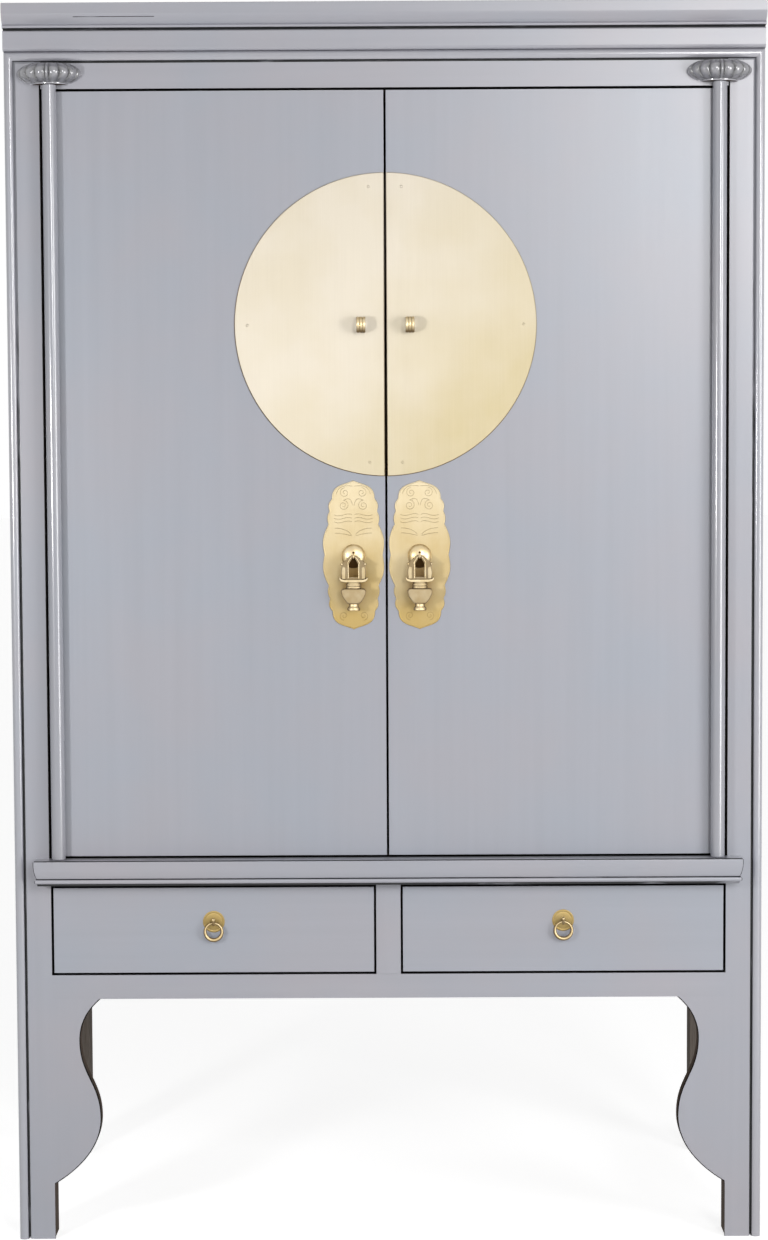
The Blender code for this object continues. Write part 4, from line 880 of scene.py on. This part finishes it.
# each test tells which faces have the next finish, after cuts across the board at the given heights
def dressBoard(node, body, finishes, tests=(), cuts=()):
    first, *others = node.split("_")
    name = first + "".join(word.title() for word in others)
    board = bpy.data.objects.new(name, cadNodes[node].data.copy())
    bpy.context.scene.collection.objects.link(board)
    board.data.materials.clear()
    startEdit(board)
    bpy.ops.mesh.select_all(action="SELECT")
    bpy.ops.mesh.remove_doubles(threshold=0.01 * mm)
    bpy.ops.mesh.dissolve_limited(angle_limit=math.radians(1))
    endEdit()
    useModifier(board, "BEVEL", width=boardLook["ease"], segments=2, limit_method="ANGLE",
                angle_limit=math.radians(40))
    if cuts:
        scoreAcross(board, cuts)
    for index, test in enumerate(tests, 1):
        markFaces(board, index, test)
    finishPiece(board, body, finishes, [node])


def dressSide(side, word):
    def inward(middle, facing):
        return facing.x * side < -0.5

    def inwardOrForward(middle, facing):
        return facing.x * side < -0.5 or facing.y < -0.5

    def insideCase(middle, facing):
        return inwardOrForward(middle, facing) and middle.z > caseFloor

    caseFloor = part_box("cabinet_floor")[0].z
    dressBoard(word + "_side_panel", "carcass", (lacquer["z"], elm["z"]), [inward])
    dressBoard(word + "_side_top_rail", "carcass", (lacquer["y"], elm["y"]), [inward])
    dressBoard(word + "_side_lower_rail", "carcass", (lacquer["y"], elm["y"]), [inward])
    dressBoard(f"rear_{word}_post", "carcass", (lacquer["z"], legElm, elm["z"]),
               [inwardOrForward, insideCase], [caseFloor])
    dressBoard(word + "_shelf_cleat", "carcass", (elm["y"],))
    dressBoard(word + "_drawer_runner", "carcass", (elm["y"],))


for side, word in sides:
    dressSide(side, word)
for node, along in (("back_panel", "z"), ("back_top_rail", "x"), ("back_lower_rail", "x"), ("cabinet_floor", "x"),
                    ("shelf", "x"), ("door_stop", "x"), ("centre_drawer_runner", "y")):
    dressBoard(node, "carcass", (elm[along],))
print("carcass boards done")


# the doors: a flat panel with two battens behind it, and the round pole it turns on

doorLook = {"ease": 0.9 * mm, "thickness": 20 * mm, "battenWidth": 70 * mm, "battenFromEnd": 150 * mm,
            "battenInset": 40 * mm, "battenEase": 2 * mm, "poleRadius": 10 * mm, "poleEase": 1 * mm,
            "pinRadius": 5 * mm, "webWidth": 15 * mm, "shoulderGap": 0.5 * mm}


def makeDoorPanel(side, word):
    look = doorLook
    low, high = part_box(word + "_door_panel")
    rear = low.y + look["thickness"]
    panel = addFlushFront(word + "DoorPanel", low, (high.x, rear, high.z), look["ease"])
    half = look["battenWidth"] / 2
    for middle in (low.z + look["battenFromEnd"], high.z - look["battenFromEnd"]):
        batten = addBlock("batten", (low.x + look["battenInset"], rear, middle - half),
                          (high.x - look["battenInset"], high.y, middle + half))
        easeEdges(batten, look["battenEase"], lambda e: all(near(v.co.y, high.y) for v in e.verts))
        joinTo(panel, batten)
    # painted shade: the edges near black beside the gaps; then the bare back and the battens, the grain across them
    markFaces(panel, 1, lambda m, n: m.y > low.y + 1.5 * look["ease"])
    markFaces(panel, 2, lambda m, n: m.y > rear - look["ease"])
    markFaces(panel, 3, lambda m, n: m.y > rear + look["ease"])
    finishes = (panelLacquer["z"], shadeBlackElm, elm["z"], elm["x"])
    finishPiece(panel, word + "_door", finishes, [word + "_door_panel"])


def makeDoorPole(side, word):
    look = doorLook
    low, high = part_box(word + "_door_pole")
    panelLow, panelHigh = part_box(word + "_door_panel")
    radius, pin, ease = look["poleRadius"], look["pinRadius"], look["poleEase"]
    axis = ((low.x + high.x) / 2, low.y + radius)
    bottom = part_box("pivot_ledge")[1].z + look["shoulderGap"]
    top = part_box(word + "_pivot_capital")[0].z + capitalLook["footLift"] - look["shoulderGap"]
    section = [(0, low.z), (pin, low.z), (pin, bottom), (radius - ease, bottom), (radius, bottom + ease)]
    section += [(radius, top - ease), (radius - ease, top), (pin, top), (pin, high.z), (0, high.z)]
    pole = moveTo(turnOnLathe(word + "DoorPole", section, 40), (*axis, 0))
    half = look["webWidth"] / 2
    web = addBlock("web", (axis[0] - half, axis[1] + radius / 2, panelLow.z), (axis[0] + half, high.y, panelHigh.z))
    joinTo(pole, web)
    # painted shade: the web and the rear of the pole near black, so the gap beside the panel reads dark
    markFaces(pole, 1, lambda m, n: m.y > axis[1] + radius * 0.3)
    finishPiece(pole, word + "_door", (shadedPoleLacquer, shadeBlackElm), [word + "_door_pole"])


for side, word in sides:
    makeDoorPanel(side, word)
    makeDoorPole(side, word)
print("doors done")


# the round plate, one half on each door, with small nails

moonLook = {"points": 240, "rim": 0.5 * mm, "rimShade": 0.9 * mm, "shadeSide": (-0.45, 0, -0.6), "dull": 0.65,
            "nailRadius": 2.0 * mm, "nailRise": 0.9 * mm, "nailInset": 18.5 * mm, "nailFromGap": 23 * mm}


# a low round head, cut flat where it meets its plate
def addNail(place, radius, rise):
    bpy.ops.object.select_all(action="DESELECT")
    bpy.ops.mesh.primitive_uv_sphere_add(segments=20, ring_count=10, radius=1, location=place,
                                         scale=(radius, rise, radius))
    nail = addNamed("nail")
    return sawOff(nail, (place[0], place[1] + 0.05 * mm, place[2]), (0, 1, 0))


def makeMoonPlate(side, word):
    look = moonLook
    low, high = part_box(word + "_moon_plate")
    radius = (high.z - low.z) / 2
    middle = (low.z + high.z) / 2
    gap = min(abs(low.x), abs(high.x))
    turns = [math.tau * i / look["points"] for i in range(look["points"])]
    points = [(radius * math.sin(t), low.y, middle + radius * math.cos(t)) for t in turns]
    plate = pullOut(addOutline(word + "MoonPlate", points), (0, high.y - low.y, 0))
    sawOff(plate, (side * gap, 0, 0), (-side, 0, 0))
    easeEdges(plate, look["rim"], lambda e: all(near(v.co.y, low.y) for v in e.verts))
    startEdit(plate)
    pick(plate, "faces", lambda face: face.normal.y < -0.99)
    bpy.ops.mesh.inset(thickness=look["rimShade"], depth=0)
    endEdit()

    # painted shade round the rim, most of it below and on the left
    paintEvenly(plate, 0)
    inner = radius - look["rim"] - look["rimShade"]
    for point, paint in zip(plate.data.vertices, plate.data.attributes["tarnishAndShade"].data):
        out = Vector((point.co.x, 0, point.co.z - middle))
        if out.length > inner + look["rimShade"] / 2:
            paint.value = look["dull"] + out.normalized().dot(Vector(look["shadeSide"])) / 2
    across = radius - look["nailInset"]
    up = math.sqrt(across ** 2 - look["nailFromGap"] ** 2)
    for x, z in ((look["nailFromGap"], up), (across, 0), (look["nailFromGap"], -up)):
        joinTo(plate, addNail((side * x, low.y, middle + z), look["nailRadius"], look["nailRise"]))
    finishPiece(plate, word + "_door", (moonBrass,), [word + "_moon_plate"])


# a ribbed strap bent to a loop
stapleLook = {"wall": 2.5 * mm, "ribs": 3, "ribDepth": 0.9 * mm, "ribPoints": 10, "turnSteps": 20}


def makeStaple(side, word):
    look = stapleLook
    low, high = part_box(word + "_lock_staple")
    wide = high.x - low.x
    half = (high.z - low.z) / 2
    middle = (low.z + high.z) / 2
    count = look["ribs"] * look["ribPoints"]
    outerEdge = []
    for i in range(count + 1):
        arch = abs(math.sin(math.pi * look["ribs"] * i / count))
        outerEdge.append((low.x + wide * i / count, half - look["ribDepth"] * (1 - math.sqrt(arch))))
    points = [(x, high.y, middle + r) for x, r in outerEdge]
    points += [(high.x, high.y, middle + half - look["wall"]), (low.x, high.y, middle + half - look["wall"])]
    flat = high.y - low.y - half
    staple = addOutline(word + "LockStaple", points)
    startEdit(staple)
    bpy.ops.mesh.select_all(action="SELECT")
    bpy.ops.mesh.extrude_region_move(TRANSFORM_OT_translate={"value": (0, -flat, 0)})
    bpy.ops.mesh.spin(steps=look["turnSteps"], angle=-math.pi, center=(0, high.y - flat, middle), axis=(1, 0, 0))
    bpy.ops.mesh.extrude_region_move(TRANSFORM_OT_translate={"value": (0, flat, 0)})
    endEdit()
    # painted shade: brown on the loop where it turns down and back, away from the light in front and above
    paintTurnedAwayShade(staple, (0, -0.8, 0.6), 0.75, 0.8)
    finishPiece(staple, word + "_door", (castBrass,), [word + "_lock_staple"], 60)


for side, word in sides:
    makeMoonPlate(side, word)
    makeStaple(side, word)
print("round plate done")


# scalloped pull plates with a raised rim and chased scrolls

plateLook = {
    "ogee": [(0, 0.1054), (0.0130, 0.0990), (0.0305, 0.1000), (0.0300, 0.0797)],
    "notches": [(0.0336, 0.0619, 0.0030), (0.0352, 0.0434, 0.0022), (0.0410, 0, 0.0048)],
    "rimWidth": 1.3 * mm, "rimFall": 0.5 * mm, "rimRise": 0.45 * mm, "line": 0.38 * mm, "lineDull": 0.25,
    "shadeSide": (0.5, 0, -0.6), "dull": 0.6, "edgeEase": 0.8 * mm,
}


def bulged(start, end, bulge, count):
    across = Vector((end[0] - start[0], end[1] - start[1]))
    out = Vector((-across.y, across.x)).normalized() * bulge
    shares = [i / count for i in range(1, count + 1)]
    return [(start[0] + across.x * s + out.x * math.sin(math.pi * s),
             start[1] + across.y * s + out.y * math.sin(math.pi * s)) for s in shares]


def curl(x, z, radius, turns, start, hand):
    count = int(18 * turns)
    points = []
    for i in range(count + 1):
        share = i / count
        reach = radius * (1 - 0.82 * share)
        angle = start + hand * math.tau * turns * share
        points.append((x + reach * math.cos(angle), z + reach * math.sin(angle)))
    return points


# clouds at the top, two curls under them, waves, leaves beside the boss, and small curls at the foot
def chasedLines():
    lines = []
    for hand in (-1, 1):
        lines.append(curl(hand * 12 * mm, 88 * mm, 7 * mm, 1.5, math.pi / 2, -hand))
        lines.append(curl(hand * 14 * mm, 70 * mm, 7.5 * mm, 1.6, math.pi / 2, hand))
        lines.append(bezier([(hand * 1 * mm, 97 * mm), (hand * 9 * mm, 99 * mm), (hand * 22 * mm, 98 * mm),
                             (hand * 24 * mm, 86 * mm)], 14))
        lines.append(bezier([(hand * 1 * mm, 70 * mm), (hand * 3 * mm, 82 * mm), (hand * 8 * mm, 80 * mm),
                             (hand * 14 * mm, 77.5 * mm)], 12))
        for drop in (0, 5 * mm, 10 * mm):
            lines.append(bezier([(hand * 2 * mm, 57 * mm - drop), (hand * 10 * mm, 61 * mm - drop),
                                 (hand * 18 * mm, 52 * mm - drop), (hand * 27 * mm, 57 * mm - drop)], 14))
        for drop in (0, 7 * mm):
            lines.append(bezier([(hand * 3 * mm, 29 * mm - drop / 4), (hand * 9 * mm, 36 * mm - drop),
                                 (hand * 18 * mm, 38 * mm - drop), (hand * 26 * mm, 38 * mm - drop)], 12))
        lines.append(curl(hand * 14 * mm, -86 * mm, 6.5 * mm, 1.4, -math.pi / 2, hand))
    return lines


def makePullPlate(side, word):
    look = plateLook
    low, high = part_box(word + "_pull_plate")
    middleX = (low.x + high.x) / 2
    middleZ = (low.z + high.z) / 2
    quarter = bezier(look["ogee"], 14)
    for x, z, bulge in look["notches"]:
        quarter += bulged(quarter[-1], (x, z), bulge, 9)
    right = quarter + [(x, -z) for x, z in reversed(quarter[:-1])]
    outline = right + [(-x, z) for x, z in reversed(right[1:-1])]
    plate = addOutline(word + "PullPlate", [(middleX + x, low.y, middleZ + z) for x, z in outline])
    pullOut(plate, (0, high.y - low.y, 0))
    startEdit(plate)
    pick(plate, "faces", lambda face: face.normal.y < -0.9)
    bpy.ops.mesh.inset(thickness=look["rimWidth"], depth=0)
    bpy.ops.mesh.inset(thickness=look["rimFall"], depth=-look["rimRise"])
    endEdit()
    easeEdges(plate, look["edgeEase"], lambda e: all(near(v.co.y, low.y) for v in e.verts) and isSharp(e))
    depth = low.y + look["rimRise"] + look["line"] / 3
    # painted shade: the plate's outer edge darker, most on the right and below
    paintEvenly(plate, 0)
    for point, paint in zip(plate.data.vertices, plate.data.attributes["tarnishAndShade"].data):
        if point.co.y > low.y + (look["rimRise"] + look["edgeEase"]) / 2:
            paint.value = max(0, look["dull"] + point.normal.dot(Vector(look["shadeSide"])) / 2)
    for line in chasedLines():
        wire = addWire("line", [(middleX + x, depth, middleZ + z) for x, z in line], look["line"])
        paintEvenly(wire, look["lineDull"])
        joinTo(plate, wire)
    finishPiece(plate, word + "_door", (plateBrass,), [word + "_pull_plate"])


# a dome with the cotter loop that the drop pull hangs in, and above the loop a small low bump painted brown as the
# shade of a hole
bossLook = {"radius": 17 * mm, "height": 9.5 * mm, "rim": 0.8 * mm, "sunk": 0.4 * mm, "barRadius": 1.5 * mm,
            "clearance": 0.4 * mm, "wire": 0.9 * mm, "shank": 1.3 * mm, "hole": 1.7 * mm, "holeUp": 5.0 * mm,
            "shade": (9 * mm, 2.5 * mm)}


def makeBoss(side, word):
    look = bossLook
    low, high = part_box(word + "_pull_boss")
    pullLow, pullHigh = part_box(word + "_drop_pull")
    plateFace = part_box(word + "_pull_plate")[0].y
    x = (low.x + high.x) / 2
    z = (low.z + high.z) / 2
    dome = look["height"] - look["rim"]
    turns = [math.pi / 2 * i / 16 for i in range(16)]
    section = [(0, 0), (look["radius"], 0), (look["radius"], look["rim"])]
    section += [(look["radius"] * 0.97 * math.cos(t), look["rim"] + dome * math.sin(t)) for t in turns]
    section += [(0, look["height"])]
    base = plateFace + look["sunk"]
    boss = moveTo(turnOnLathe(word + "PullBoss", section, 64), (x, base, z), (math.pi / 2, 0, 0))
    # painted shade: brown on the dome's lower side, which faces down
    paintTurnedAwayShade(boss, (0, 0, 1), -0.2, 0.4)
    reach = look["barRadius"] + look["clearance"] + look["wire"]
    axisY = (pullLow.y + pullHigh.y) / 2
    turns = [math.tau * i / 32 for i in range(32)]
    loop = addWire("loop", [(x, axisY + reach * math.cos(t), z + reach * math.sin(t)) for t in turns],
                   look["wire"], True)
    shank = addWire("shank", [(x, axisY + reach, z), (x, high.y, z)], look["shank"])
    domeShare = look["holeUp"] / (look["radius"] * 0.97)
    domeFace = base - look["rim"] - dome * math.sqrt(1 - domeShare ** 2)
    hole = addNail((x, domeFace, z + look["holeUp"]), look["hole"], 0.3 * mm)
    joinTo(boss, loop, shank, hole)

    # painted shade: brown on the small bump that stands for the hole, and on the dome behind the pull's window, where
    # the frame shades it
    holeMiddle = Vector((x, domeFace, z + look["holeUp"]))
    for point, paint in zip(boss.data.vertices, boss.data.attributes["tarnishAndShade"].data):
        inHole = (point.co - holeMiddle).length < look["hole"] * 1.05 and point.co.y < domeFace + 0.04 * mm
        behind = abs(point.co.x - x) < look["shade"][0] and point.co.z < z - look["shade"][1]
        if inHole or (behind and point.co.y > low.y + 2 * reach + 2 * look["wire"]):
            paint.value = 1
    finishPiece(boss, word + "_door", (castBrass,), [word + "_pull_boss"], 50)


# the hanging pull, as (out, drop) from its bar: a gable over an arched window, a boat-shaped sill,
# two rings, a bowl and a foot
pullLook = {
    "frameHalf": 3 * mm, "barRadius": 1.5 * mm, "barHalf": 4.5 * mm, "ridge": 0.95 * mm, "knob": 1.9 * mm,
    "frame": [(2.6, -2.0), (5.0, -1.2), (8.5, 2.4), (12.2, 6.2), (15.8, 8.4), (17.8, 9.8), (17.6, 12.0),
              (16.4, 13.4), (17.3, 18.0), (17.7, 23.0), (17.0, 28.0), (17.6, 33.0)], "ear": (16.4, 10.4),
    "window": [(2.6, 3.6), (4.2, 6.2), (6.4, 9.6), (6.4, 29.0)],
    "gable": [(2.9, 0.6), (5.2, 3.6), (8.2, 8.4), (7.5, 10.6), (7.4, 20.0), (7.4, 30.5)],
    "pilaster": [(11.2, 15.0), (15.4, 14.0), (16.6, 18.5), (17.0, 23.0), (16.2, 28.0), (16.8, 31.5), (11.2, 31.5)],
    "pilasterRise": 1.1 * mm, "pilasterDull": 0.25,
    "sill": [(0, 32.4), (13.0, 32.2), (17.4, 31.2), (19.6, 28.8), (20.3, 29.4), (19.6, 32.6), (17.0, 34.9),
             (12.0, 35.9), (0, 36.0)], "sillHalf": 6.2 * mm,
    "neck": [(0, 35.4), (9.6, 35.4), (9.6, 38.2), (10.9, 38.5), (10.9, 40.8), (9.6, 41.1), (9.6, 41.7),
             (10.9, 42.0), (10.9, 44.3), (9.8, 44.7), (9.8, 46.0), (0, 46.0)], "neckFlat": 0.55,
    "bowl": [(0, 45.0), (13.0, 45.0), (16.3, 45.8)] + bezier([(17.4, 48.6), (17.2, 56.0), (12.4, 61.4), (8.4, 66.2)], 8)
            + [(0, 66.4)], "bowlHalf": 8.2 * mm, "bowlDull": 0.42, "groundDull": 0.6,
    "foot": [(0, 65.4), (6.6, 65.4), (6.9, 67.6), (6.6, 69.2), (7.4, 71.0), (8.9, 72.4), (9.1, 75.0), (8.6, 76.0),
             (0, 76.0)], "footFlat": 0.78,
}


def makePull(side, word):
    look = pullLook
    low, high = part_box(word + "_drop_pull")
    x = (low.x + high.x) / 2
    y = (low.y + high.y) / 2
    bar = high.z - 2 * mm

    def at(points, depth):
        return [(x + out * mm, depth, bar - drop * mm) for out, drop in points]

    def flip(points):
        return [(-out, drop) for out, drop in points]

    def eased(obj, width, steps):
        return easeEdges(obj, width, lambda e: isSharp(e) and near(e.verts[0].co.y, e.verts[1].co.y), steps)

    def slab(name, half, ease, steps):
        points = look[name] + flip(reversed(look[name][1:-1]))
        return eased(pullOut(addOutline(name, at(points, y - half)), (0, 2 * half, 0)), ease, steps)

    def turned(name, flat):
        made = turnOnLathe(name, [(out * mm, -drop * mm) for out, drop in look[name]], 40)
        return moveTo(made, (x, y, bar), scale=(1, flat, 1))

    half = look["frameHalf"]
    ring = look["frame"] + flip(reversed(look["frame"])) + flip(look["window"]) + look["window"][::-1]
    pull = pullOut(addOutline(word + "DropPull", at(ring, y - half)), (0, 2 * half, 0))
    eased(pull, 0.6 * mm, 2)
    parts = [slab("sill", look["sillHalf"], 1.1 * mm, 3), slab("bowl", look["bowlHalf"], 2.2 * mm, 2)]
    parts += [turned("neck", look["neckFlat"]), turned("foot", look["footFlat"])]
    rise = look["pilasterRise"]
    for turn in (list, flip):
        parts.append(addWire("gable", at(turn(look["gable"]), y - half), look["ridge"]))
        pilaster = addOutline("pilaster", at(turn(look["pilaster"]), y - half - rise))
        parts.append(eased(pullOut(pilaster, (0, 2 * rise, 0)), 0.7 * mm, 2))
        parts.append(addNail(at(turn([look["ear"]]), y - half)[0], look["knob"], look["knob"]))
    parts.append(addWire("bar", [(x - look["barHalf"], y, bar), (x + look["barHalf"], y, bar)], look["barRadius"]))
    joinTo(pull, *parts)
    # painted shade: brown on the sides and edges that turn from the front; the flat faces of the bowl, the ground and
    # the pilasters then get dull tones of their own
    paintTurnedAwayShade(pull, kept=0.97, soft=0.45)
    for point, paint in zip(pull.data.vertices, pull.data.attributes["tarnishAndShade"].data):
        if near(point.co.y, y - look["bowlHalf"]):
            paint.value = look["bowlDull"]
        if near(point.co.y, y - look["frameHalf"]):
            paint.value = look["groundDull"]
        if near(point.co.y, y - look["frameHalf"] - rise):
            paint.value = look["pilasterDull"]
    finishPiece(pull, word + "_door_pull", (castBrass,), [word + "_drop_pull"], 50)


for side, word in sides:
    makePullPlate(side, word)
    makeBoss(side, word)
    makePull(side, word)
print("pulls done")


# drawers: a flush front, a plain box behind it, and a ring in a cotter

drawerLook = {"ease": 0.9 * mm, "gapExtra": 0.5 * mm, "wire": 2.8 * mm, "barRadius": 2.0 * mm, "ringSwell": 0.42,
              "eyeWire": 1.3 * mm, "eyeClear": 0.6 * mm, "shank": 1.5 * mm, "headSwell": 0.5,
              "head": 2.3 * mm, "headUp": 4.2 * mm, "eyeShade": 0.7}


def makeDrawerFront(side, word):
    look = drawerLook
    low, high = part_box(word + "_drawer_front")
    shrink = Vector((look["gapExtra"], 0, look["gapExtra"]))
    face = addFlushFront(word + "DrawerFront", low + shrink, high - shrink, look["ease"])
    finishPiece(face, word + "_drawer", (panelLacquer["x"], shadeBlackElm, elm["x"]), [word + "_drawer_front"])


def makeDrawerRing(side, word):
    look = drawerLook
    low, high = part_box(word + "_ring_plate")
    x = (low.x + high.x) / 2
    z = (low.z + high.z) / 2
    r = (high.x - low.x) / 2
    thick = high.y - low.y
    section = [(0, 0), (r, 0), (r, thick * 0.4), (r * 0.95, thick * 0.75), (r * 0.86, thick * 0.7),
               (r * 0.8, thick * 0.4), (r * 0.7, thick * 0.75), (r * 0.4, thick * 0.95), (0, thick)]
    plate = moveTo(turnOnLathe(word + "RingPlate", section, 48), (x, high.y, z), (math.pi / 2, 0, 0))
    finishPiece(plate, word + "_drawer", (plateBrass,), [word + "_ring_plate"])

    low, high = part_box(word + "_ring_cotter")
    reach = look["barRadius"] + look["eyeClear"] + look["eyeWire"]
    axisY = low.y + reach + look["eyeWire"]
    turns = [math.tau * i / 28 for i in range(28)]
    points = [(x, axisY + reach * math.cos(t), z + reach * math.sin(t)) for t in turns]
    eye = addWire(word + "RingCotter", points, look["eyeWire"], True)
    joinTo(eye, addWire("shank", [(x, axisY + reach, z), (x, high.y, z)], look["shank"]))
    for point in eye.data.vertices:
        forward = max(0, axisY - point.co.y) / (axisY - low.y)
        point.co.x = x + (point.co.x - x) * (1 + look["headSwell"] * forward)
    # painted shade: the eye evenly brown, as the shade under the head
    paintEvenly(eye, look["eyeShade"])
    bpy.ops.object.select_all(action="DESELECT")
    bpy.ops.mesh.primitive_uv_sphere_add(segments=24, ring_count=16, radius=look["head"],
                                         location=(x, low.y + look["head"], z + look["headUp"]))
    head = addNamed("head")
    # painted shade: a brown outline round the head, where it turns from the front
    paintTurnedAwayShade(head, kept=0.7, soft=0.4)
    joinTo(eye, head)
    finishPiece(eye, word + "_drawer", (castBrass,), [word + "_ring_cotter"], 50)

    low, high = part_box(word + "_ring_pull")
    radius = (high.x - low.x) / 2 - look["wire"]
    middle = (low + high) / 2
    bpy.ops.object.select_all(action="DESELECT")
    bpy.ops.mesh.primitive_torus_add(major_radius=radius, minor_radius=look["wire"], major_segments=72,
                                     minor_segments=18, rotation=(math.pi / 2, 0, 0), location=middle)
    ring = addNamed(word + "RingPull")

    # thinner at the top, where it wears in the cotter
    for point in ring.data.vertices:
        out = point.co - middle
        out.y = 0
        heart = middle + out.normalized() * radius
        thin = 1 - look["ringSwell"] * (1 + out.normalized().z) / 2
        point.co = heart + (point.co - heart) * thin
    # painted shade: brown on the ring's sides, which turn from the front, as dark outlines
    paintTurnedAwayShade(ring, (0.15, -0.97, 0.15), 0.97, 0.2)
    finishPiece(ring, word + "_drawer_ring", (castBrass,), [word + "_ring_pull"], 60)


for side, word in sides:
    makeDrawerFront(side, word)
    dressBoard(word + "_drawer_box", word + "_drawer", (elm["y"],))
    dressBoard(word + "_drawer_bottom", word + "_drawer", (elm["x"],))
    makeDrawerRing(side, word)
print("drawers done")


# camera, at the photograph's own angle

cameraLook = {"lens": 82.27, "fromFront": 4.0, "x": 0.0073, "height": 1.1734, "pitch": 4.056, "roll": -0.287,
              "yaw": -0.164}
turn = Matrix.Rotation(-math.radians(cameraLook["yaw"]), 3, "Z")
turn = turn @ Matrix.Rotation(math.pi / 2 - math.radians(cameraLook["pitch"]), 3, "X")
turn = turn @ Matrix.Rotation(math.radians(cameraLook["roll"]), 3, "Z")
bpy.ops.object.camera_add(location=(cameraLook["x"], front - cameraLook["fromFront"], cameraLook["height"]),
                          rotation=turn.to_euler())
camera = bpy.context.active_object
camera.data.lens = cameraLook["lens"]
camera.data.sensor_width = 36
bpy.context.scene.camera = camera


# soft studio light: a big panel high on the right, a box on either side, a pale room,
# and a dark flag behind the camera for the metal to mirror

lightLook = {
    "room": 0.2, "floorGlow": 0.76,
    "key": {"place": (1.15, -4.3, 2.2), "aim": (0.2, -0.2, 1.3), "size": (0.7, 1.6), "power": 48},
    "left": {"place": (-1.35, -2.0, 1.1), "aim": (-0.2, -0.2, 0.95), "size": (0.22, 0.34), "power": 13},
    "right": {"place": (2.0, -2.1, 1.0), "aim": (0.1, -0.2, 0.8), "size": (1.0, 1.6), "power": 28},
    "flag": {"place": (0, -5.6, 1.9), "size": (6.0, 3.8), "tone": "303032"},
}


# a white that only the camera, mirrors and glass see
def seenRays(tree):
    rays = addNode(tree, "ShaderNodeLightPath").outputs
    seen = addNode(tree, "ShaderNodeMath", {"operation": "MAXIMUM"}, {
        0: rays["Is Camera Ray"], 1: rays["Is Glossy Ray"]})
    return addNode(tree, "ShaderNodeMath", {"operation": "MAXIMUM"}, {
        0: seen.outputs[0], 1: rays["Is Transmission Ray"]}).outputs[0]


world = bpy.data.worlds.new("paleRoom")
bpy.context.scene.world = world
world.use_nodes = True
level = addNode(world.node_tree, "ShaderNodeMapRange", {}, {
    "Value": seenRays(world.node_tree), "To Min": lightLook["room"], "To Max": 1.0})
room = world.node_tree.nodes["Background"]
room.inputs["Color"].default_value = linear("FFFFFF")
world.node_tree.links.new(level.outputs[0], room.inputs["Strength"])

for name in ("key", "left", "right"):
    look = lightLook[name]
    way = Vector(look["aim"]) - Vector(look["place"])
    bpy.ops.object.light_add(type="AREA", location=look["place"], rotation=way.to_track_quat("-Z", "Y").to_euler())
    lamp = bpy.context.active_object
    lamp.name = name + "Softbox"
    lamp.data.shape = "RECTANGLE"
    lamp.data.size, lamp.data.size_y = look["size"]
    lamp.data.energy = look["power"]
    lamp.visible_camera = False

look = lightLook["flag"]
bpy.ops.object.select_all(action="DESELECT")
bpy.ops.mesh.primitive_plane_add(size=1, location=look["place"], rotation=(math.pi / 2, 0, 0), scale=(*look["size"], 1))
flag = addNamed("darkFlag")
flag.data.materials.append(newMaterial("darkCloth", Roughness=1.0, Base_Color=linear(look["tone"]))[0])

bpy.ops.object.select_all(action="DESELECT")
bpy.ops.mesh.primitive_plane_add(size=60, location=(0, 0, -0.2 * mm))
floor = addNamed("paleFloor")
material, tree, shader = newMaterial("paleFloorPaint", Roughness=0.9, Base_Color=linear("D8D8D8"))
share = addNode(tree, "ShaderNodeMath", {"operation": "MULTIPLY"}, {0: seenRays(tree), 1: lightLook["floorGlow"]})
glow = addNode(tree, "ShaderNodeEmission", {}, {"Strength": share.outputs[0]})
mixed = addNode(tree, "ShaderNodeAddShader", {}, {0: shader.outputs[0], 1: glow.outputs[0]})
tree.links.new(mixed.outputs[0], tree.nodes["Material Output"].inputs["Surface"])
floor.data.materials.append(material)
bpy.context.scene.view_settings.view_transform = "Standard"
print("stage done")
